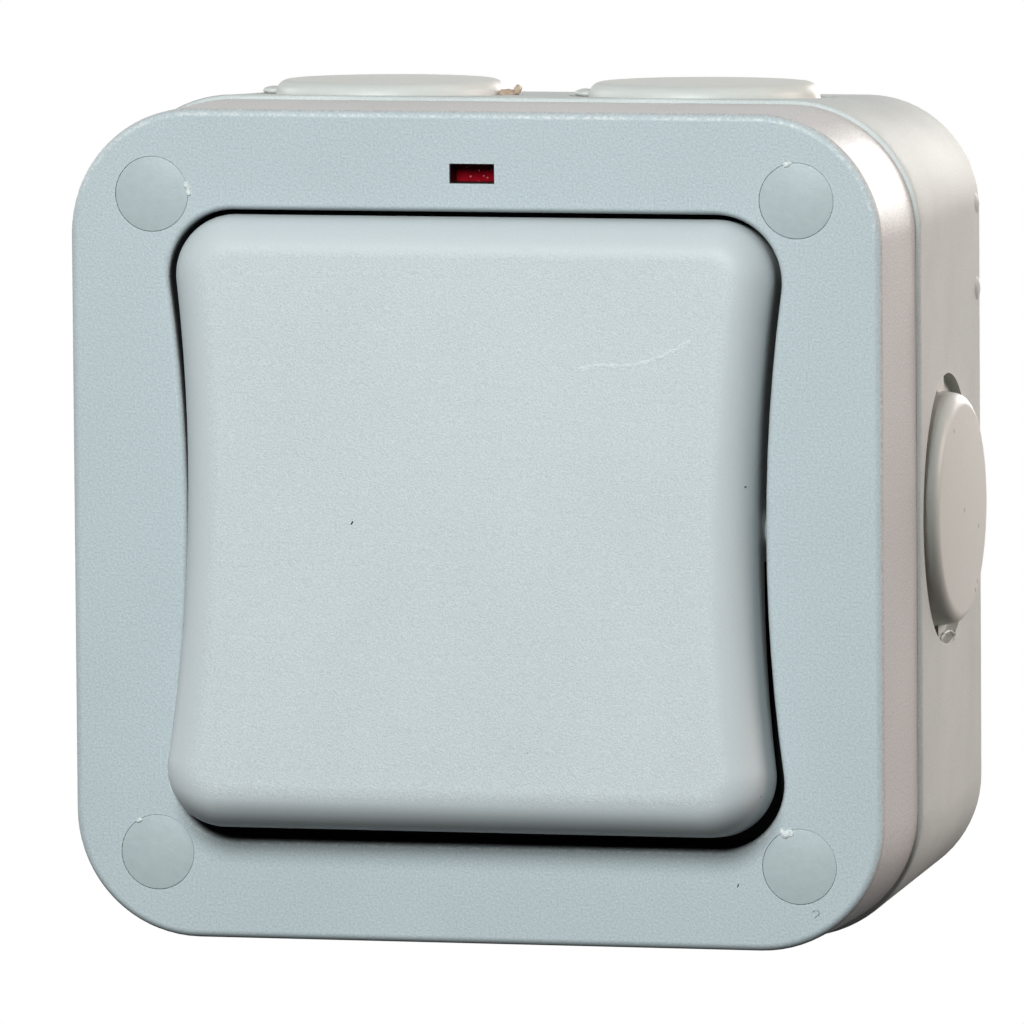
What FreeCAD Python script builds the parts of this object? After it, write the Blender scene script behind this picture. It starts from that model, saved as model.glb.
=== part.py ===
import FreeCAD, Part
import math
import os
from types import SimpleNamespace

import Sketcher

# Outdoor weatherproof switch, in millimetres: a square box on the wall, a flush cover and a wide rocker.
# The origin is the middle of the back face, on the wall. +Y runs into the wall, so the front looks along -Y,
# and +Z is up. Places along Y are written as a reach: how far in front of the wall a thing lies.

# Driving dimensions: name, number, what it is
SIZES = [
    ("cover_width", 92.0, "outside of the cover, along X"),
    ("cover_height", 92.0, "outside of the cover, along Z"),
    ("cover_corner", 14.0, "corner radius of the cover's outline"),
    ("cover_depth", 17.2, "front face to seam"),
    ("cover_edge_round", 0.9, "round on the cover's front edge"),
    ("cover_plate", 2.8, "thickness of the cover's front"),
    ("skirt_wall", 2.6, "thickness of the cover's side walls"),
    ("rebate_lip", 1.1, "outer lip of the cover that hides the gasket"),
    ("rebate_depth", 3.6, "seam to the gasket's seat in the cover"),
    ("seam_chamfer", 0.35, "chamfer on both sides of the seam"),
    ("box_depth", 37.3, "wall to seam"),
    ("box_rim", 0.5, "how far the box's rim stands out past the cover"),
    ("box_draft", 2.75, "draft of the box's sides, in degrees"),
    ("box_wall", 3.5, "thickness of the box's side walls at the seam"),
    ("box_floor", 2.6, "thickness of the box's back"),
    ("tongue_clearance", 0.15, "gap between the box's tongue and the cover's lip"),
    ("tongue_height", 2.0, "how far the box's tongue stands into the cover"),
    ("box_pillar", 9.8, "diameter of the box's corner pillars"),
    ("insert_hole_depth", 14.0, "depth of the hole for insert and screw end"),
    ("wall_hole", 6.0, "diameter of the fixing holes in the back"),
    ("wall_hole_inset", 16.0, "cover's edge to the middle of a fixing hole"),
    ("entry_pitch", 36.2, "distance between the two entries of the top and of the bottom"),
    ("entry_reach", 21.2, "middle of the cable entries in front of the wall"),
    ("entry_recess", 30.2, "diameter of the flat recess round an entry"),
    ("entry_hole", 20.5, "diameter of an entry"),
    ("entry_web", 1.2, "wall left between recess and inside"),
    ("plug_base", 25.8, "diameter of a plug's head at its foot"),
    ("plug_top", 24.8, "diameter of a plug's head at its top"),
    ("plug_proud", 3.4, "height of a plug's head above its recess"),
    ("plug_round", 1.5, "round on a plug's top edge"),
    ("plug_neck_clearance", 0.1, "gap between a plug's neck and its entry"),
    ("plug_lip", 22.6, "diameter of the lip that holds a plug inside"),
    ("plug_lip_height", 1.4, "thickness of that lip"),
    ("plug_wall", 2.2, "wall of a plug's neck"),
    ("plug_ear_length", 1.7, "how far a plug's pry ears stand out from its head"),
    ("plug_ear_width", 3.2, "width of a pry ear"),
    ("plug_ear_height", 2.0, "height of a pry ear above the recess"),
    ("border_end", 11.1, "cover's edge to the rocker opening, top and bottom"),
    ("border_side", 13.15, "cover's edge to the rocker opening at its narrow middle"),
    ("aperture_flare", 1.9, "how far the opening's corners stand out past its middle, each side"),
    ("aperture_corner", 7.4, "corner radius of the rocker opening"),
    ("aperture_edge_round", 0.7, "round on the opening's edge"),
    ("pan_wall", 2.0, "wall of the pan round the rocker"),
    ("pan_depth", 9.1, "front face to the pan's floor"),
    ("pan_floor", 2.4, "thickness of the pan's floor"),
    ("stem_slot_width", 23.4, "slot in the pan's floor for the dolly, along X"),
    ("stem_slot_height", 11.4, "slot in the pan's floor for the dolly, along Z"),
    ("cap_inset", 9.45, "cover's edge to the middle of a cover screw"),
    ("cap_diameter", 8.3, "screw cap"),
    ("cap_clearance", 0.05, "gap round a screw cap"),
    ("cap_height", 5.6, "screw cap, front to back"),
    ("cap_wall", 1.2, "wall of a screw cap"),
    ("cap_edge_round", 0.25, "round on a screw cap's front edge"),
    ("cap_pocket_depth", 9.5, "front face to the screw head's seat"),
    ("cover_pillar", 10.5, "diameter of the cover's screw pillars"),
    ("pillar_gap", 0.2, "gap between the pillars of cover and box"),
    ("cover_screw", 4.0, "diameter of the cover screws"),
    ("cover_screw_clearance", 0.1, "gap round a cover screw in the cover"),
    ("cover_screw_length", 15.5, "cover screw below its head"),
    ("cover_screw_head", 7.0, "diameter of the cover screws' heads"),
    ("cover_screw_head_height", 2.4, "height of the cover screws' heads"),
    ("insert_diameter", 5.6, "outside of the brass inserts"),
    ("insert_length", 8.0, "length of the brass inserts"),
    ("thread_clearance", 0.02, "gap round a screw in its thread or an insert in its hole"),
    ("window_width", 5.1, "neon window, along X"),
    ("window_height", 2.2, "neon window, along Z"),
    ("window_inset", 6.85, "top of the cover to the middle of the neon window"),
    ("lens_width", 11.0, "red lens, along X"),
    ("lens_height", 4.3, "red lens, along Z"),
    ("lens_depth", 5.4, "red lens, front to back"),
    ("lens_clearance", 0.05, "gap between the lens and its ribs"),
    ("lens_rib", 1.2, "thickness of the ribs beside the lens"),
    ("lamp_diameter", 3.2, "neon lamp"),
    ("lamp_length", 8.0, "neon lamp, end to end"),
    ("lamp_clearance", 0.08, "gap round the lamp in its trough"),
    ("rocker_gap_end", 1.1, "gap between rocker and opening, top and bottom"),
    ("rocker_gap_side", 0.75, "gap between rocker and opening at the waist"),
    ("rocker_corner", 6.6, "corner radius of the rocker's outline"),
    ("rocker_proud", 6.35, "rocker's flat in front of the cover when level"),
    ("rocker_round", 4.8, "round on the rocker's front edge"),
    ("rocker_skirt", 3.0, "rocker's rim behind the cover's face when level"),
    ("rocker_wall", 2.4, "rocker's side wall"),
    ("rocker_face", 2.6, "thickness of the rocker's flat"),
    ("rocker_rib", 1.6, "thickness of the ribs under the rocker's flat"),
    ("rocker_rib_depth", 4.0, "depth of the ribs under the rocker's flat"),
    ("rocker_rib_pitch", 40.0, "distance between those ribs"),
    ("pivot_depth", 5.2, "front face to the rocker's axis"),
    ("rocker_tilt", 5.5, "tilt of the rocker to each side, in degrees"),
    ("trunnion", 4.0, "diameter of the rocker's trunnions"),
    ("trunnion_length", 2.25, "length of the rocker's trunnions"),
    ("trunnion_clearance", 0.05, "gap round a trunnion in its bearing"),
    ("trunnion_end_gap", 0.1, "gap at the end of a trunnion"),
    ("ear_width", 7.0, "rocker's ears that carry the trunnions, along Z"),
    ("ear_overlap", 2.0, "how far an ear runs up inside the rocker's wall"),
    ("socket_wall", 1.6, "wall of the socket that holds the dolly"),
    ("socket_depth", 5.0, "depth of that socket"),
    ("dolly_clearance", 0.03, "gap between the dolly and its socket"),
    ("dolly_width", 22.0, "dolly, along X"),
    ("dolly_height", 8.0, "dolly, along Z"),
    ("dolly_reach", 10.3, "rocker's axis to the end of the dolly"),
    ("pole_pitch", 11.0, "distance between the two poles"),
    ("plunger_diameter", 4.1, "plunger"),
    ("plunger_clearance", 0.05, "gap round a plunger in its bore"),
    ("plunger_body", 9.0, "length of a plunger without its round tip"),
    ("plunger_tip_reach", 15.3, "rocker's axis to the plunger's tip"),
    ("plunger_bore_depth", 14.0, "depth of the plunger bores"),
    ("spring_wire", 0.5, "wire of the plunger springs"),
    ("spring_diameter", 3.0, "middle of the plunger springs' wire"),
    ("spring_turns", 5.0, "turns of a plunger spring"),
    ("spring_end_gap", 0.05, "gap at each end of a plunger spring"),
    ("seal_width", 36.0, "rubber seal, along X"),
    ("seal_height", 30.0, "rubber seal, along Z"),
    ("seal_flange", 1.2, "thickness of the rubber seal"),
    ("seal_corner", 4.0, "corner radius of the rubber seal"),
    ("seal_gap", 0.3, "gap between the seal's slot and the dolly at the ends of its travel"),
    ("housing_width", 40.0, "mechanism housing, along X"),
    ("housing_height", 38.0, "mechanism housing, along Z"),
    ("housing_depth", 13.8, "mechanism housing, front to back"),
    ("housing_wall", 1.8, "walls of the mechanism housing"),
    ("housing_corner", 2.5, "corner radius of the mechanism housing"),
    ("base_thickness", 3.0, "plate of the mechanism base"),
    ("lug_diameter", 8.0, "lugs that the mechanism's screws pass through"),
    ("lug_pitch", 50.0, "distance between the mechanism's screws"),
    ("mechanism_screw", 3.0, "diameter of the mechanism's screws"),
    ("mechanism_screw_clearance", 0.1, "gap round those screws in the lugs"),
    ("mechanism_screw_head", 5.6, "diameter of their heads"),
    ("mechanism_screw_head_height", 2.0, "height of their heads"),
    ("mechanism_screw_grip", 2.8, "how far they run into the cover's bosses"),
    ("contact_axis", 17.1, "rocker's axis to the axis of the see-saw blades"),
    ("contact_tilt", 7.0, "tilt of the see-saw blades to each side, in degrees"),
    ("blade_length", 22.0, "see-saw blade, along Z"),
    ("blade_width", 5.0, "see-saw blade, along X"),
    ("blade_thickness", 1.2, "see-saw blade"),
    ("blade_front", 1.7, "axis of a blade to its front face"),
    ("knuckle_radius", 1.2, "round knuckle that a blade rocks on"),
    ("knuckle_clearance", 0.05, "gap between knuckle and cradle"),
    ("contact_height", 8.5, "height of the contacts above a blade's axis"),
    ("contact_diameter", 3.0, "contact buttons"),
    ("contact_thickness", 0.8, "contact button of a blade"),
    ("contact_gap", 0.2, "gap between the contacts when the switch is on"),
    ("strip_thickness", 1.2, "brass strips of the terminals"),
    ("cradle_width", 5.0, "cradle under a blade, along X"),
    ("cradle_height", 4.4, "cradle under a blade, along Z"),
    ("cradle_front", 0.6, "axis of a blade to the front of its cradle"),
    ("terminal_width", 8.0, "terminal block, along X"),
    ("terminal_height", 8.0, "terminal block, along Z"),
    ("terminal_depth", 8.5, "terminal block, front to back"),
    ("terminal_middle", 12.5, "terminal blocks above and below the middle"),
    ("terminal_bore", 4.2, "cable hole in a terminal block"),
    ("terminal_clearance", 0.05, "gap round the brass in the base"),
    ("terminal_screw", 3.5, "diameter of the terminal screws"),
    ("terminal_screw_length", 5.5, "length of the terminal screws"),
    ("terminal_screw_proud", 1.2, "how far a terminal screw stands out of its block"),
    ("shroud_wall", 1.6, "walls round the terminal blocks"),
    ("shroud_depth", 5.0, "depth of those walls"),
    ("cable_slot_clearance", 0.4, "room on each side of a cable in those walls"),
    ("earth_middle", -30.0, "height of the earth terminal above the middle"),
    ("earth_width", 10.0, "earth terminal, along X"),
    ("earth_height", 7.0, "earth terminal, along Z"),
    ("earth_depth", 10.5, "earth terminal, front to back"),
    ("earth_cradle_wall", 1.5, "walls that hold the earth terminal"),
    ("earth_cradle_depth", 4.0, "height of those walls"),
]

TEXT_COLUMNS = "ABC"
SAME_PLACE = 1e-4


class Size:
    """A length of the sheet, or a sum or product of such lengths: its formula and its number."""

    def __init__(self, formula, number):
        self.formula = formula
        self.number = number

    def __add__(self, other):
        other = as_size(other)
        return Size(f"({self.formula} + {other.formula})", self.number + other.number)

    def __sub__(self, other):
        other = as_size(other)
        return Size(f"({self.formula} - {other.formula})", self.number - other.number)

    def __mul__(self, other):
        other = as_size(other)
        return Size(f"({self.formula} * {other.formula})", self.number * other.number)

    def __truediv__(self, other):
        other = as_size(other)
        return Size(f"({self.formula} / {other.formula})", self.number / other.number)

    def __neg__(self):
        return Size(f"(0 - {self.formula})", -self.number)


def as_size(value):
    if isinstance(value, Size):
        return value
    return Size(repr(float(value)), float(value))


def sine(angle):
    return Size(f"sin({angle.formula})", math.sin(math.radians(angle.number)))


def cosine(angle):
    return Size(f"cos({angle.formula})", math.cos(math.radians(angle.number)))


def make_sheet(doc):
    sheet = doc.addObject("Spreadsheet::Sheet", "Sizes")
    for row, cells in enumerate(SIZES, start=1):
        for column, cell in zip(TEXT_COLUMNS, cells):
            sheet.set(f"{column}{row}", str(cell))
        sheet.setAlias(f"B{row}", cells[0])
    doc.recompute()
    return sheet


doc = FreeCAD.newDocument("WeatherproofSwitch")
sheet = make_sheet(doc)
s = SimpleNamespace(**{name: Size(f"Sizes.{name}", float(sheet.get(name))) for name, _, _ in SIZES})

# Places along the depth, as a reach in front of the wall
front = s.box_depth + s.cover_depth
seam = s.box_depth
plate_back = front - s.cover_plate
pivot = front - s.pivot_depth
pan_front = front - s.pan_depth
pan_back = pan_front - s.pan_floor
housing_front = pan_back - s.seal_flange
base_front = housing_front - s.housing_depth
base_back = base_front - s.base_thickness
rocker_back = front - s.rocker_skirt
rocker_inside = front + s.rocker_proud - s.rocker_face
dolly_end = pivot - s.dolly_reach
blade_axis = pivot - s.contact_axis
screw_seat = front - s.cap_pocket_depth
gasket_seat = seam + s.rebate_depth
box_pillar_top = gasket_seat - s.pillar_gap
strip_front = base_front + s.strip_thickness

# What lies at a distance from the cover's edge
box_width = s.cover_width + s.box_rim * 2
box_height = s.cover_height + s.box_rim * 2
box_corner = s.cover_corner + s.box_rim
aperture_height = s.cover_height - s.border_end * 2
aperture_waist = s.cover_width - s.border_side * 2
aperture_shoulder = aperture_waist + (s.aperture_flare - s.aperture_corner) * 2
cap_pitches = [s.cover_width - s.cap_inset * 2, s.cover_height - s.cap_inset * 2]
wall_hole_pitches = [s.cover_width - s.wall_hole_inset * 2, s.cover_height - s.wall_hole_inset * 2]
window_middle = s.cover_height / 2 - s.window_inset

SIDES = {"left": -1, "right": 1}
LEVELS = {"top": 1, "bottom": -1}


def bind(thing, path, size):
    thing.setExpression(path, as_size(size).formula)


# Sketches and features of a body

def new_body(label):
    body = doc.addObject("PartDesign::Body", label)
    body.Label = label
    return body


def origin_plane(body, role):
    return next(plane for plane in body.Origin.OriginFeatures if plane.Role == role)


def new_sketch(body, role, offset):
    sketch = body.newObject("Sketcher::SketchObject", f"{body.Name}_sketch")
    sketch.AttachmentSupport = (origin_plane(body, role), [""])
    sketch.MapMode = "FlatFace"
    bind(sketch, "AttachmentOffset.Base.z", offset)
    return sketch


def front_sketch(body, reach):
    """A sketch across the depth: its x is X, its y is Z, and its normal points to the front."""
    return new_sketch(body, "XZ_Plane", reach)


def side_sketch(body, x):
    """A sketch seen from the side: its x is Y, its y is Z, and its normal points along +X."""
    return new_sketch(body, "YZ_Plane", x)


def top_sketch(body, z):
    """A sketch seen from above: its x is X, its y is Y, and its normal points up."""
    return new_sketch(body, "XY_Plane", z)


def set_length(sketch, constraint, size):
    index = sketch.addConstraint(constraint)
    bind(sketch, f"Constraints[{index}]", size)


def pin_point(sketch, curve, point, x, y):
    """Hold a point of a curve at a place of the sketch."""
    for kind, axis, place in (("DistanceX", -2, as_size(x)), ("DistanceY", -1, as_size(y))):
        if abs(place.number) < SAME_PLACE:
            sketch.addConstraint(Sketcher.Constraint("PointOnObject", curve, point, axis))
        elif place.number > 0:
            set_length(sketch, Sketcher.Constraint(kind, -1, 1, curve, point, place.number), place)
        else:
            set_length(sketch, Sketcher.Constraint(kind, curve, point, -1, 1, -place.number), -place)


def vector(x, y):
    return FreeCAD.Vector(as_size(x).number, as_size(y).number, 0)


def arc(middle, radius, start, end):
    circle = Part.Circle(middle, FreeCAD.Vector(0, 0, 1), radius)
    return Part.ArcOfCircle(circle, math.radians(start), math.radians(end))


def draw_circle(sketch, x, y, diameter):
    diameter = as_size(diameter)
    circle = Part.Circle(vector(x, y), FreeCAD.Vector(0, 0, 1), diameter.number / 2)
    curve = sketch.addGeometry(circle, False)
    set_length(sketch, Sketcher.Constraint("Diameter", curve, diameter.number), diameter)
    pin_point(sketch, curve, 3, x, y)


def draw_polygon(sketch, points):
    first = sketch.GeometryCount
    count = len(points)
    for index, (x, y) in enumerate(points):
        following = points[(index + 1) % count]
        sketch.addGeometry(Part.LineSegment(vector(x, y), vector(*following)), False)
    for index, (x, y) in enumerate(points):
        before = first + (index - 1) % count
        sketch.addConstraint(Sketcher.Constraint("Coincident", before, 2, first + index, 1))
        pin_point(sketch, first + index, 1, x, y)


def draw_rectangle(sketch, width, height, x=0.0, y=0.0):
    width, height, x, y = (as_size(value) for value in (width, height, x, y))
    left, right = x - width / 2, x + width / 2
    low, high = y - height / 2, y + height / 2
    draw_polygon(sketch, [(left, low), (right, low), (right, high), (left, high)])


def draw_rounded_rectangle(sketch, width, height, corner):
    first = sketch.GeometryCount
    across, up = width / 2 - corner, height / 2 - corner
    half_width, half_height, radius = (width / 2).number, (height / 2).number, corner.number
    x, y = across.number, up.number
    sides = [(-x, -half_height, x, -half_height), (half_width, -y, half_width, y),
             (x, half_height, -x, half_height), (-half_width, y, -half_width, -y)]
    for x0, y0, x1, y1 in sides:
        sketch.addGeometry(Part.LineSegment(vector(x0, y0), vector(x1, y1)), False)
    for turn, (mx, my) in enumerate([(x, -y), (x, y), (-x, y), (-x, -y)]):
        sketch.addGeometry(arc(vector(mx, my), radius, 90 * turn - 90, 90 * turn), False)
    for side in range(4):
        line, bend, following = first + side, first + 4 + side, first + (side + 1) % 4
        sketch.addConstraint(Sketcher.Constraint("Tangent", line, 2, bend, 1))
        sketch.addConstraint(Sketcher.Constraint("Tangent", bend, 2, following, 1))
        direction = "Vertical" if side % 2 else "Horizontal"
        sketch.addConstraint(Sketcher.Constraint(direction, line))
    for bend in range(first + 5, first + 8):
        sketch.addConstraint(Sketcher.Constraint("Equal", first + 4, bend))
    sketch.addConstraint(Sketcher.Constraint("Symmetric", first + 4, 3, first + 6, 3, -1, 1))
    set_length(sketch, Sketcher.Constraint("Radius", first + 4, radius), corner)
    set_length(sketch, Sketcher.Constraint("DistanceX", first + 6, 3, first + 5, 3, 2 * x), across * 2)
    set_length(sketch, Sketcher.Constraint("DistanceY", first + 4, 3, first + 5, 3, 2 * y), up * 2)


def draw_hourglass(sketch, height, waist, shoulder, corner):
    """The rocker's outline: straight ends, round corners and sides that bow in to a waist."""
    first = sketch.GeometryCount
    across, up = shoulder / 2, height / 2 - corner
    narrowing = waist / 2 - across
    bow = (narrowing * narrowing + up * up - corner * corner) / ((corner - narrowing) * 2)
    x, y, radius, bow_middle = across.number, up.number, corner.number, (waist / 2 + bow).number
    top, lean = y + radius, math.degrees(math.atan2(y, bow_middle - x))
    sketch.addGeometry(Part.LineSegment(vector(x, top), vector(-x, top)), False)
    sketch.addGeometry(arc(vector(-x, y), radius, 90, 180 + lean), False)
    sketch.addGeometry(arc(vector(-bow_middle, 0), bow.number, -lean, lean), False)
    sketch.addGeometry(arc(vector(-x, -y), radius, 180 - lean, 270), False)
    sketch.addGeometry(Part.LineSegment(vector(-x, -top), vector(x, -top)), False)
    sketch.addGeometry(arc(vector(x, -y), radius, -90, lean), False)
    sketch.addGeometry(arc(vector(bow_middle, 0), bow.number, 180 - lean, 180 + lean), False)
    sketch.addGeometry(arc(vector(x, y), radius, -lean, 90), False)
    joins = [(0, 2, 1, 1), (1, 2, 2, 2), (2, 1, 3, 1), (3, 2, 4, 1),
             (4, 2, 5, 1), (5, 2, 6, 2), (6, 1, 7, 1), (7, 2, 0, 1)]
    for curve, end, other, start in joins:
        sketch.addConstraint(Sketcher.Constraint("Tangent", first + curve, end, first + other, start))
    for bend in (1, 3, 5):
        sketch.addConstraint(Sketcher.Constraint("Equal", first + 7, first + bend))
    sketch.addConstraint(Sketcher.Constraint("Equal", first + 6, first + 2))
    for bend, other, axis in ((1, 7, -2), (3, 5, -2), (7, 5, -1)):
        sketch.addConstraint(Sketcher.Constraint("Symmetric", first + bend, 3, first + other, 3, axis))
    set_length(sketch, Sketcher.Constraint("Radius", first + 7, radius), corner)
    set_length(sketch, Sketcher.Constraint("Radius", first + 6, bow.number), bow)
    set_length(sketch, Sketcher.Constraint("DistanceX", first + 1, 3, first + 7, 3, 2 * x), shoulder)
    set_length(sketch, Sketcher.Constraint("DistanceY", first + 5, 3, first + 7, 3, 2 * y), up * 2)


def add_feature(body, kind, sketch, length, reverse=False):
    feature = body.newObject(f"PartDesign::{kind}", f"{body.Name}_{kind.lower()}")
    feature.Profile = sketch
    feature.Reversed = reverse
    bind(feature, "Length", length)
    return feature


def pad(body, sketch, length, reverse=False):
    return add_feature(body, "Pad", sketch, length, reverse)


def pocket(body, sketch, length, reverse=False):
    return add_feature(body, "Pocket", sketch, length, reverse)


def revolve(body, sketch):
    """Turn a profile about the sketch's own y axis."""
    feature = body.newObject("PartDesign::Revolution", f"{body.Name}_revolution")
    feature.Profile = sketch
    feature.ReferenceAxis = (sketch, ["V_Axis"])
    feature.Angle = 360
    return feature


def edges_at_reach(feature, reach, half_width=None):
    """Names of the edges that lie in one plane across the depth, inside a width if one is given."""
    names = []
    for index, edge in enumerate(feature.Shape.Edges, start=1):
        box = edge.BoundBox
        flat = abs(box.YMin + reach.number) < SAME_PLACE and abs(box.YMax + reach.number) < SAME_PLACE
        inside = half_width is None or max(abs(box.XMin), abs(box.XMax)) < half_width.number
        if flat and inside:
            names.append(f"Edge{index}")
    return names


def dress(body, kind, feature, reach, path, size, half_width=None):
    """Round or chamfer the edges of a feature that lie in one plane across the depth."""
    doc.recompute()
    dressing = body.newObject(f"PartDesign::{kind}", f"{body.Name}_{kind.lower()}")
    dressing.Base = (feature, edges_at_reach(feature, reach, half_width))
    bind(dressing, path, size)
    doc.recompute()
    return dressing


def round_edges(body, feature, reach, radius, half_width=None):
    return dress(body, "Fillet", feature, reach, "Radius", radius, half_width)


def chamfer_edges(body, feature, reach, size):
    return dress(body, "Chamfer", feature, reach, "Size", size)


def four_corners(pitch_x, pitch_z):
    return [(pitch_x / 2 * side, pitch_z / 2 * level) for level in (1, -1) for side in (-1, 1)]


def draw_four_circles(sketch, pitch_x, pitch_z, diameter):
    for x, z in four_corners(pitch_x, pitch_z):
        draw_circle(sketch, x, z, diameter)


# Placing of finished pieces

def turn_about_x(thing, reach, angle):
    """Tilt a piece about an axis along X at a reach in front of the wall."""
    thing.Placement = FreeCAD.Placement(FreeCAD.Vector(), FreeCAD.Rotation(FreeCAD.Vector(1, 0, 0), 1))
    bind(thing, "Placement.Rotation.Angle", angle)
    bind(thing, "Placement.Base.y", -reach + reach * cosine(angle))
    bind(thing, "Placement.Base.z", reach * sine(angle))


def place(thing, x, y, z):
    for letter, value in zip("xyz", (x, y, z)):
        bind(thing, f"Placement.Base.{letter}", value)


# Plain round pieces along the depth

def bar(name, x, z, reach, diameter, length):
    """A round bar that starts at a reach and runs from there towards the wall."""
    cylinder = doc.addObject("Part::Cylinder", name)
    bind(cylinder, "Radius", as_size(diameter) / 2)
    bind(cylinder, "Height", length)
    cylinder.Placement = FreeCAD.Placement(FreeCAD.Vector(), FreeCAD.Rotation(FreeCAD.Vector(1, 0, 0), -90))
    place(cylinder, x, -reach, z)
    return cylinder


def combine(kind, name, base, tool):
    result = doc.addObject(f"Part::{kind}", name)
    result.Base = base
    result.Tool = tool
    return result


def screw(name, x, z, seat, head, head_height, diameter, length):
    """A pan-headed screw whose head sits on a seat and whose shank runs towards the wall."""
    top = bar(f"{name}_head", x, z, seat + head_height, head, head_height)
    shank = bar(f"{name}_shank", x, z, seat, diameter, length)
    return combine("Fuse", name, top, shank)


def group(label, members):
    compound = doc.addObject("Part::Compound", label)
    compound.Label = label
    compound.Links = members
    return compound


# Back box

def entries():
    """Each cable entry: its name, the sketch that faces it, its place there and its side."""
    half_pitch = s.entry_pitch / 2
    places = []
    for level, up in LEVELS.items():
        for side, across in SIDES.items():
            places.append((f"{level}_{side}", top_sketch, (half_pitch * across, -s.entry_reach), up))
    for side, across in SIDES.items():
        places.append((side, side_sketch, (-s.entry_reach, 0.0), across))
    return places


def entry_half_size(sketch_kind):
    return (box_height if sketch_kind is top_sketch else box_width) / 2


def make_back_box():
    body = new_body("back_box")
    sketch = front_sketch(body, seam)
    draw_rounded_rectangle(sketch, box_width, box_height, box_corner)
    shell = pad(body, sketch, s.box_depth, reverse=True)
    bind(shell, "TaperAngle", -s.box_draft)
    chamfer_edges(body, shell, seam, s.seam_chamfer)
    inside = [box_width - s.box_wall * 2, box_height - s.box_wall * 2, box_corner - s.box_wall]
    sketch = front_sketch(body, seam)
    draw_rounded_rectangle(sketch, *inside)
    pocket(body, sketch, s.box_depth - s.box_floor)
    tongue = s.rebate_lip + s.tongue_clearance
    sketch = front_sketch(body, seam)
    draw_rounded_rectangle(sketch, s.cover_width - tongue * 2, s.cover_height - tongue * 2,
                           s.cover_corner - tongue)
    draw_rounded_rectangle(sketch, *inside)
    pad(body, sketch, s.tongue_height)
    sketch = front_sketch(body, s.box_floor)
    draw_four_circles(sketch, *cap_pitches, s.box_pillar)
    pad(body, sketch, box_pillar_top - s.box_floor)
    sketch = front_sketch(body, box_pillar_top)
    draw_four_circles(sketch, *cap_pitches, s.insert_diameter + s.thread_clearance * 2)
    pocket(body, sketch, s.insert_hole_depth)
    sketch = front_sketch(body, s.box_floor)
    draw_four_circles(sketch, *wall_hole_pitches, s.wall_hole)
    pocket(body, sketch, s.box_floor)
    for _, sketch_kind, where, outward in entries():
        half = entry_half_size(sketch_kind)
        seat = half - s.box_wall + s.entry_web
        sketch = sketch_kind(body, half * outward)
        draw_circle(sketch, *where, s.entry_recess)
        pocket(body, sketch, s.box_wall - s.entry_web, reverse=outward < 0)
        sketch = sketch_kind(body, seat * outward)
        draw_circle(sketch, *where, s.entry_hole)
        pocket(body, sketch, s.entry_web, reverse=outward < 0)
    return body


def make_blanking_plug(name, sketch_kind, where, outward):
    """A rubber plug: a tapered head in the recess, a neck through the wall and a lip behind it."""
    body = new_body(f"blanking_plug_{name}")
    neck = (s.entry_hole - s.plug_neck_clearance * 2) / 2
    lip_top = -s.entry_web - s.plug_neck_clearance
    lip_back = lip_top - s.plug_lip_height
    hollow = neck - s.plug_wall
    hollow_top = s.plug_proud - s.plug_wall
    sketch = new_sketch(body, "XZ_Plane", 0.0)
    draw_polygon(sketch, [
        (0.0, s.plug_proud), (s.plug_top / 2, s.plug_proud), (s.plug_base / 2, 0.0), (neck, 0.0),
        (neck, lip_top), (s.plug_lip / 2, lip_top), (neck, lip_back), (hollow, lip_back),
        (hollow, hollow_top), (0.0, hollow_top)])
    head = revolve(body, sketch)
    doc.recompute()
    rounding = body.newObject("PartDesign::Fillet", f"{body.Name}_fillet")
    top_edges = [f"Edge{index}" for index, edge in enumerate(head.Shape.Edges, start=1)
                 if abs(edge.BoundBox.ZMin - s.plug_proud.number) < SAME_PLACE
                 and edge.BoundBox.XLength > s.plug_top.number / 2]
    rounding.Base = (head, top_edges)
    bind(rounding, "Radius", s.plug_round)
    ear_length = s.plug_base + s.plug_ear_length * 2
    sketch = new_sketch(body, "XY_Plane", 0.0)
    draw_rectangle(sketch, ear_length, s.plug_ear_width)
    draw_circle(sketch, 0.0, 0.0, s.plug_top)
    pad(body, sketch, s.plug_ear_height)
    half = entry_half_size(sketch_kind)
    seat = (half - s.box_wall + s.entry_web) * outward
    if sketch_kind is top_sketch:
        turn = FreeCAD.Rotation(FreeCAD.Vector(1, 0, 0), 0 if outward > 0 else 180)
        spot = (where[0], where[1], seat)
    else:
        turn = FreeCAD.Rotation(FreeCAD.Vector(0, 1, 0), 90 * outward)
        spot = (seat, where[0], as_size(where[1]))
    body.Placement = FreeCAD.Placement(FreeCAD.Vector(), turn)
    place(body, *spot)
    return body


def make_cover_screw_inserts():
    members = []
    for index, (x, z) in enumerate(four_corners(*cap_pitches)):
        outside = bar(f"insert_{index}_outside", x, z, box_pillar_top, s.insert_diameter, s.insert_length)
        thread = s.cover_screw + s.thread_clearance * 2
        bore = bar(f"insert_{index}_bore", x, z, box_pillar_top, thread, s.insert_length)
        members.append(combine("Cut", f"insert_{index}", outside, bore))
    return group("cover_screw_inserts", members)


def make_cover_gasket():
    body = new_body("cover_gasket")
    outer = s.rebate_lip + s.tongue_clearance
    sketch = front_sketch(body, seam + s.tongue_height)
    for inset in (outer, s.skirt_wall):
        draw_rounded_rectangle(sketch, s.cover_width - inset * 2, s.cover_height - inset * 2,
                               s.cover_corner - inset)
    pad(body, sketch, s.rebate_depth - s.tongue_height)
    return body


# Front cover

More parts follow.
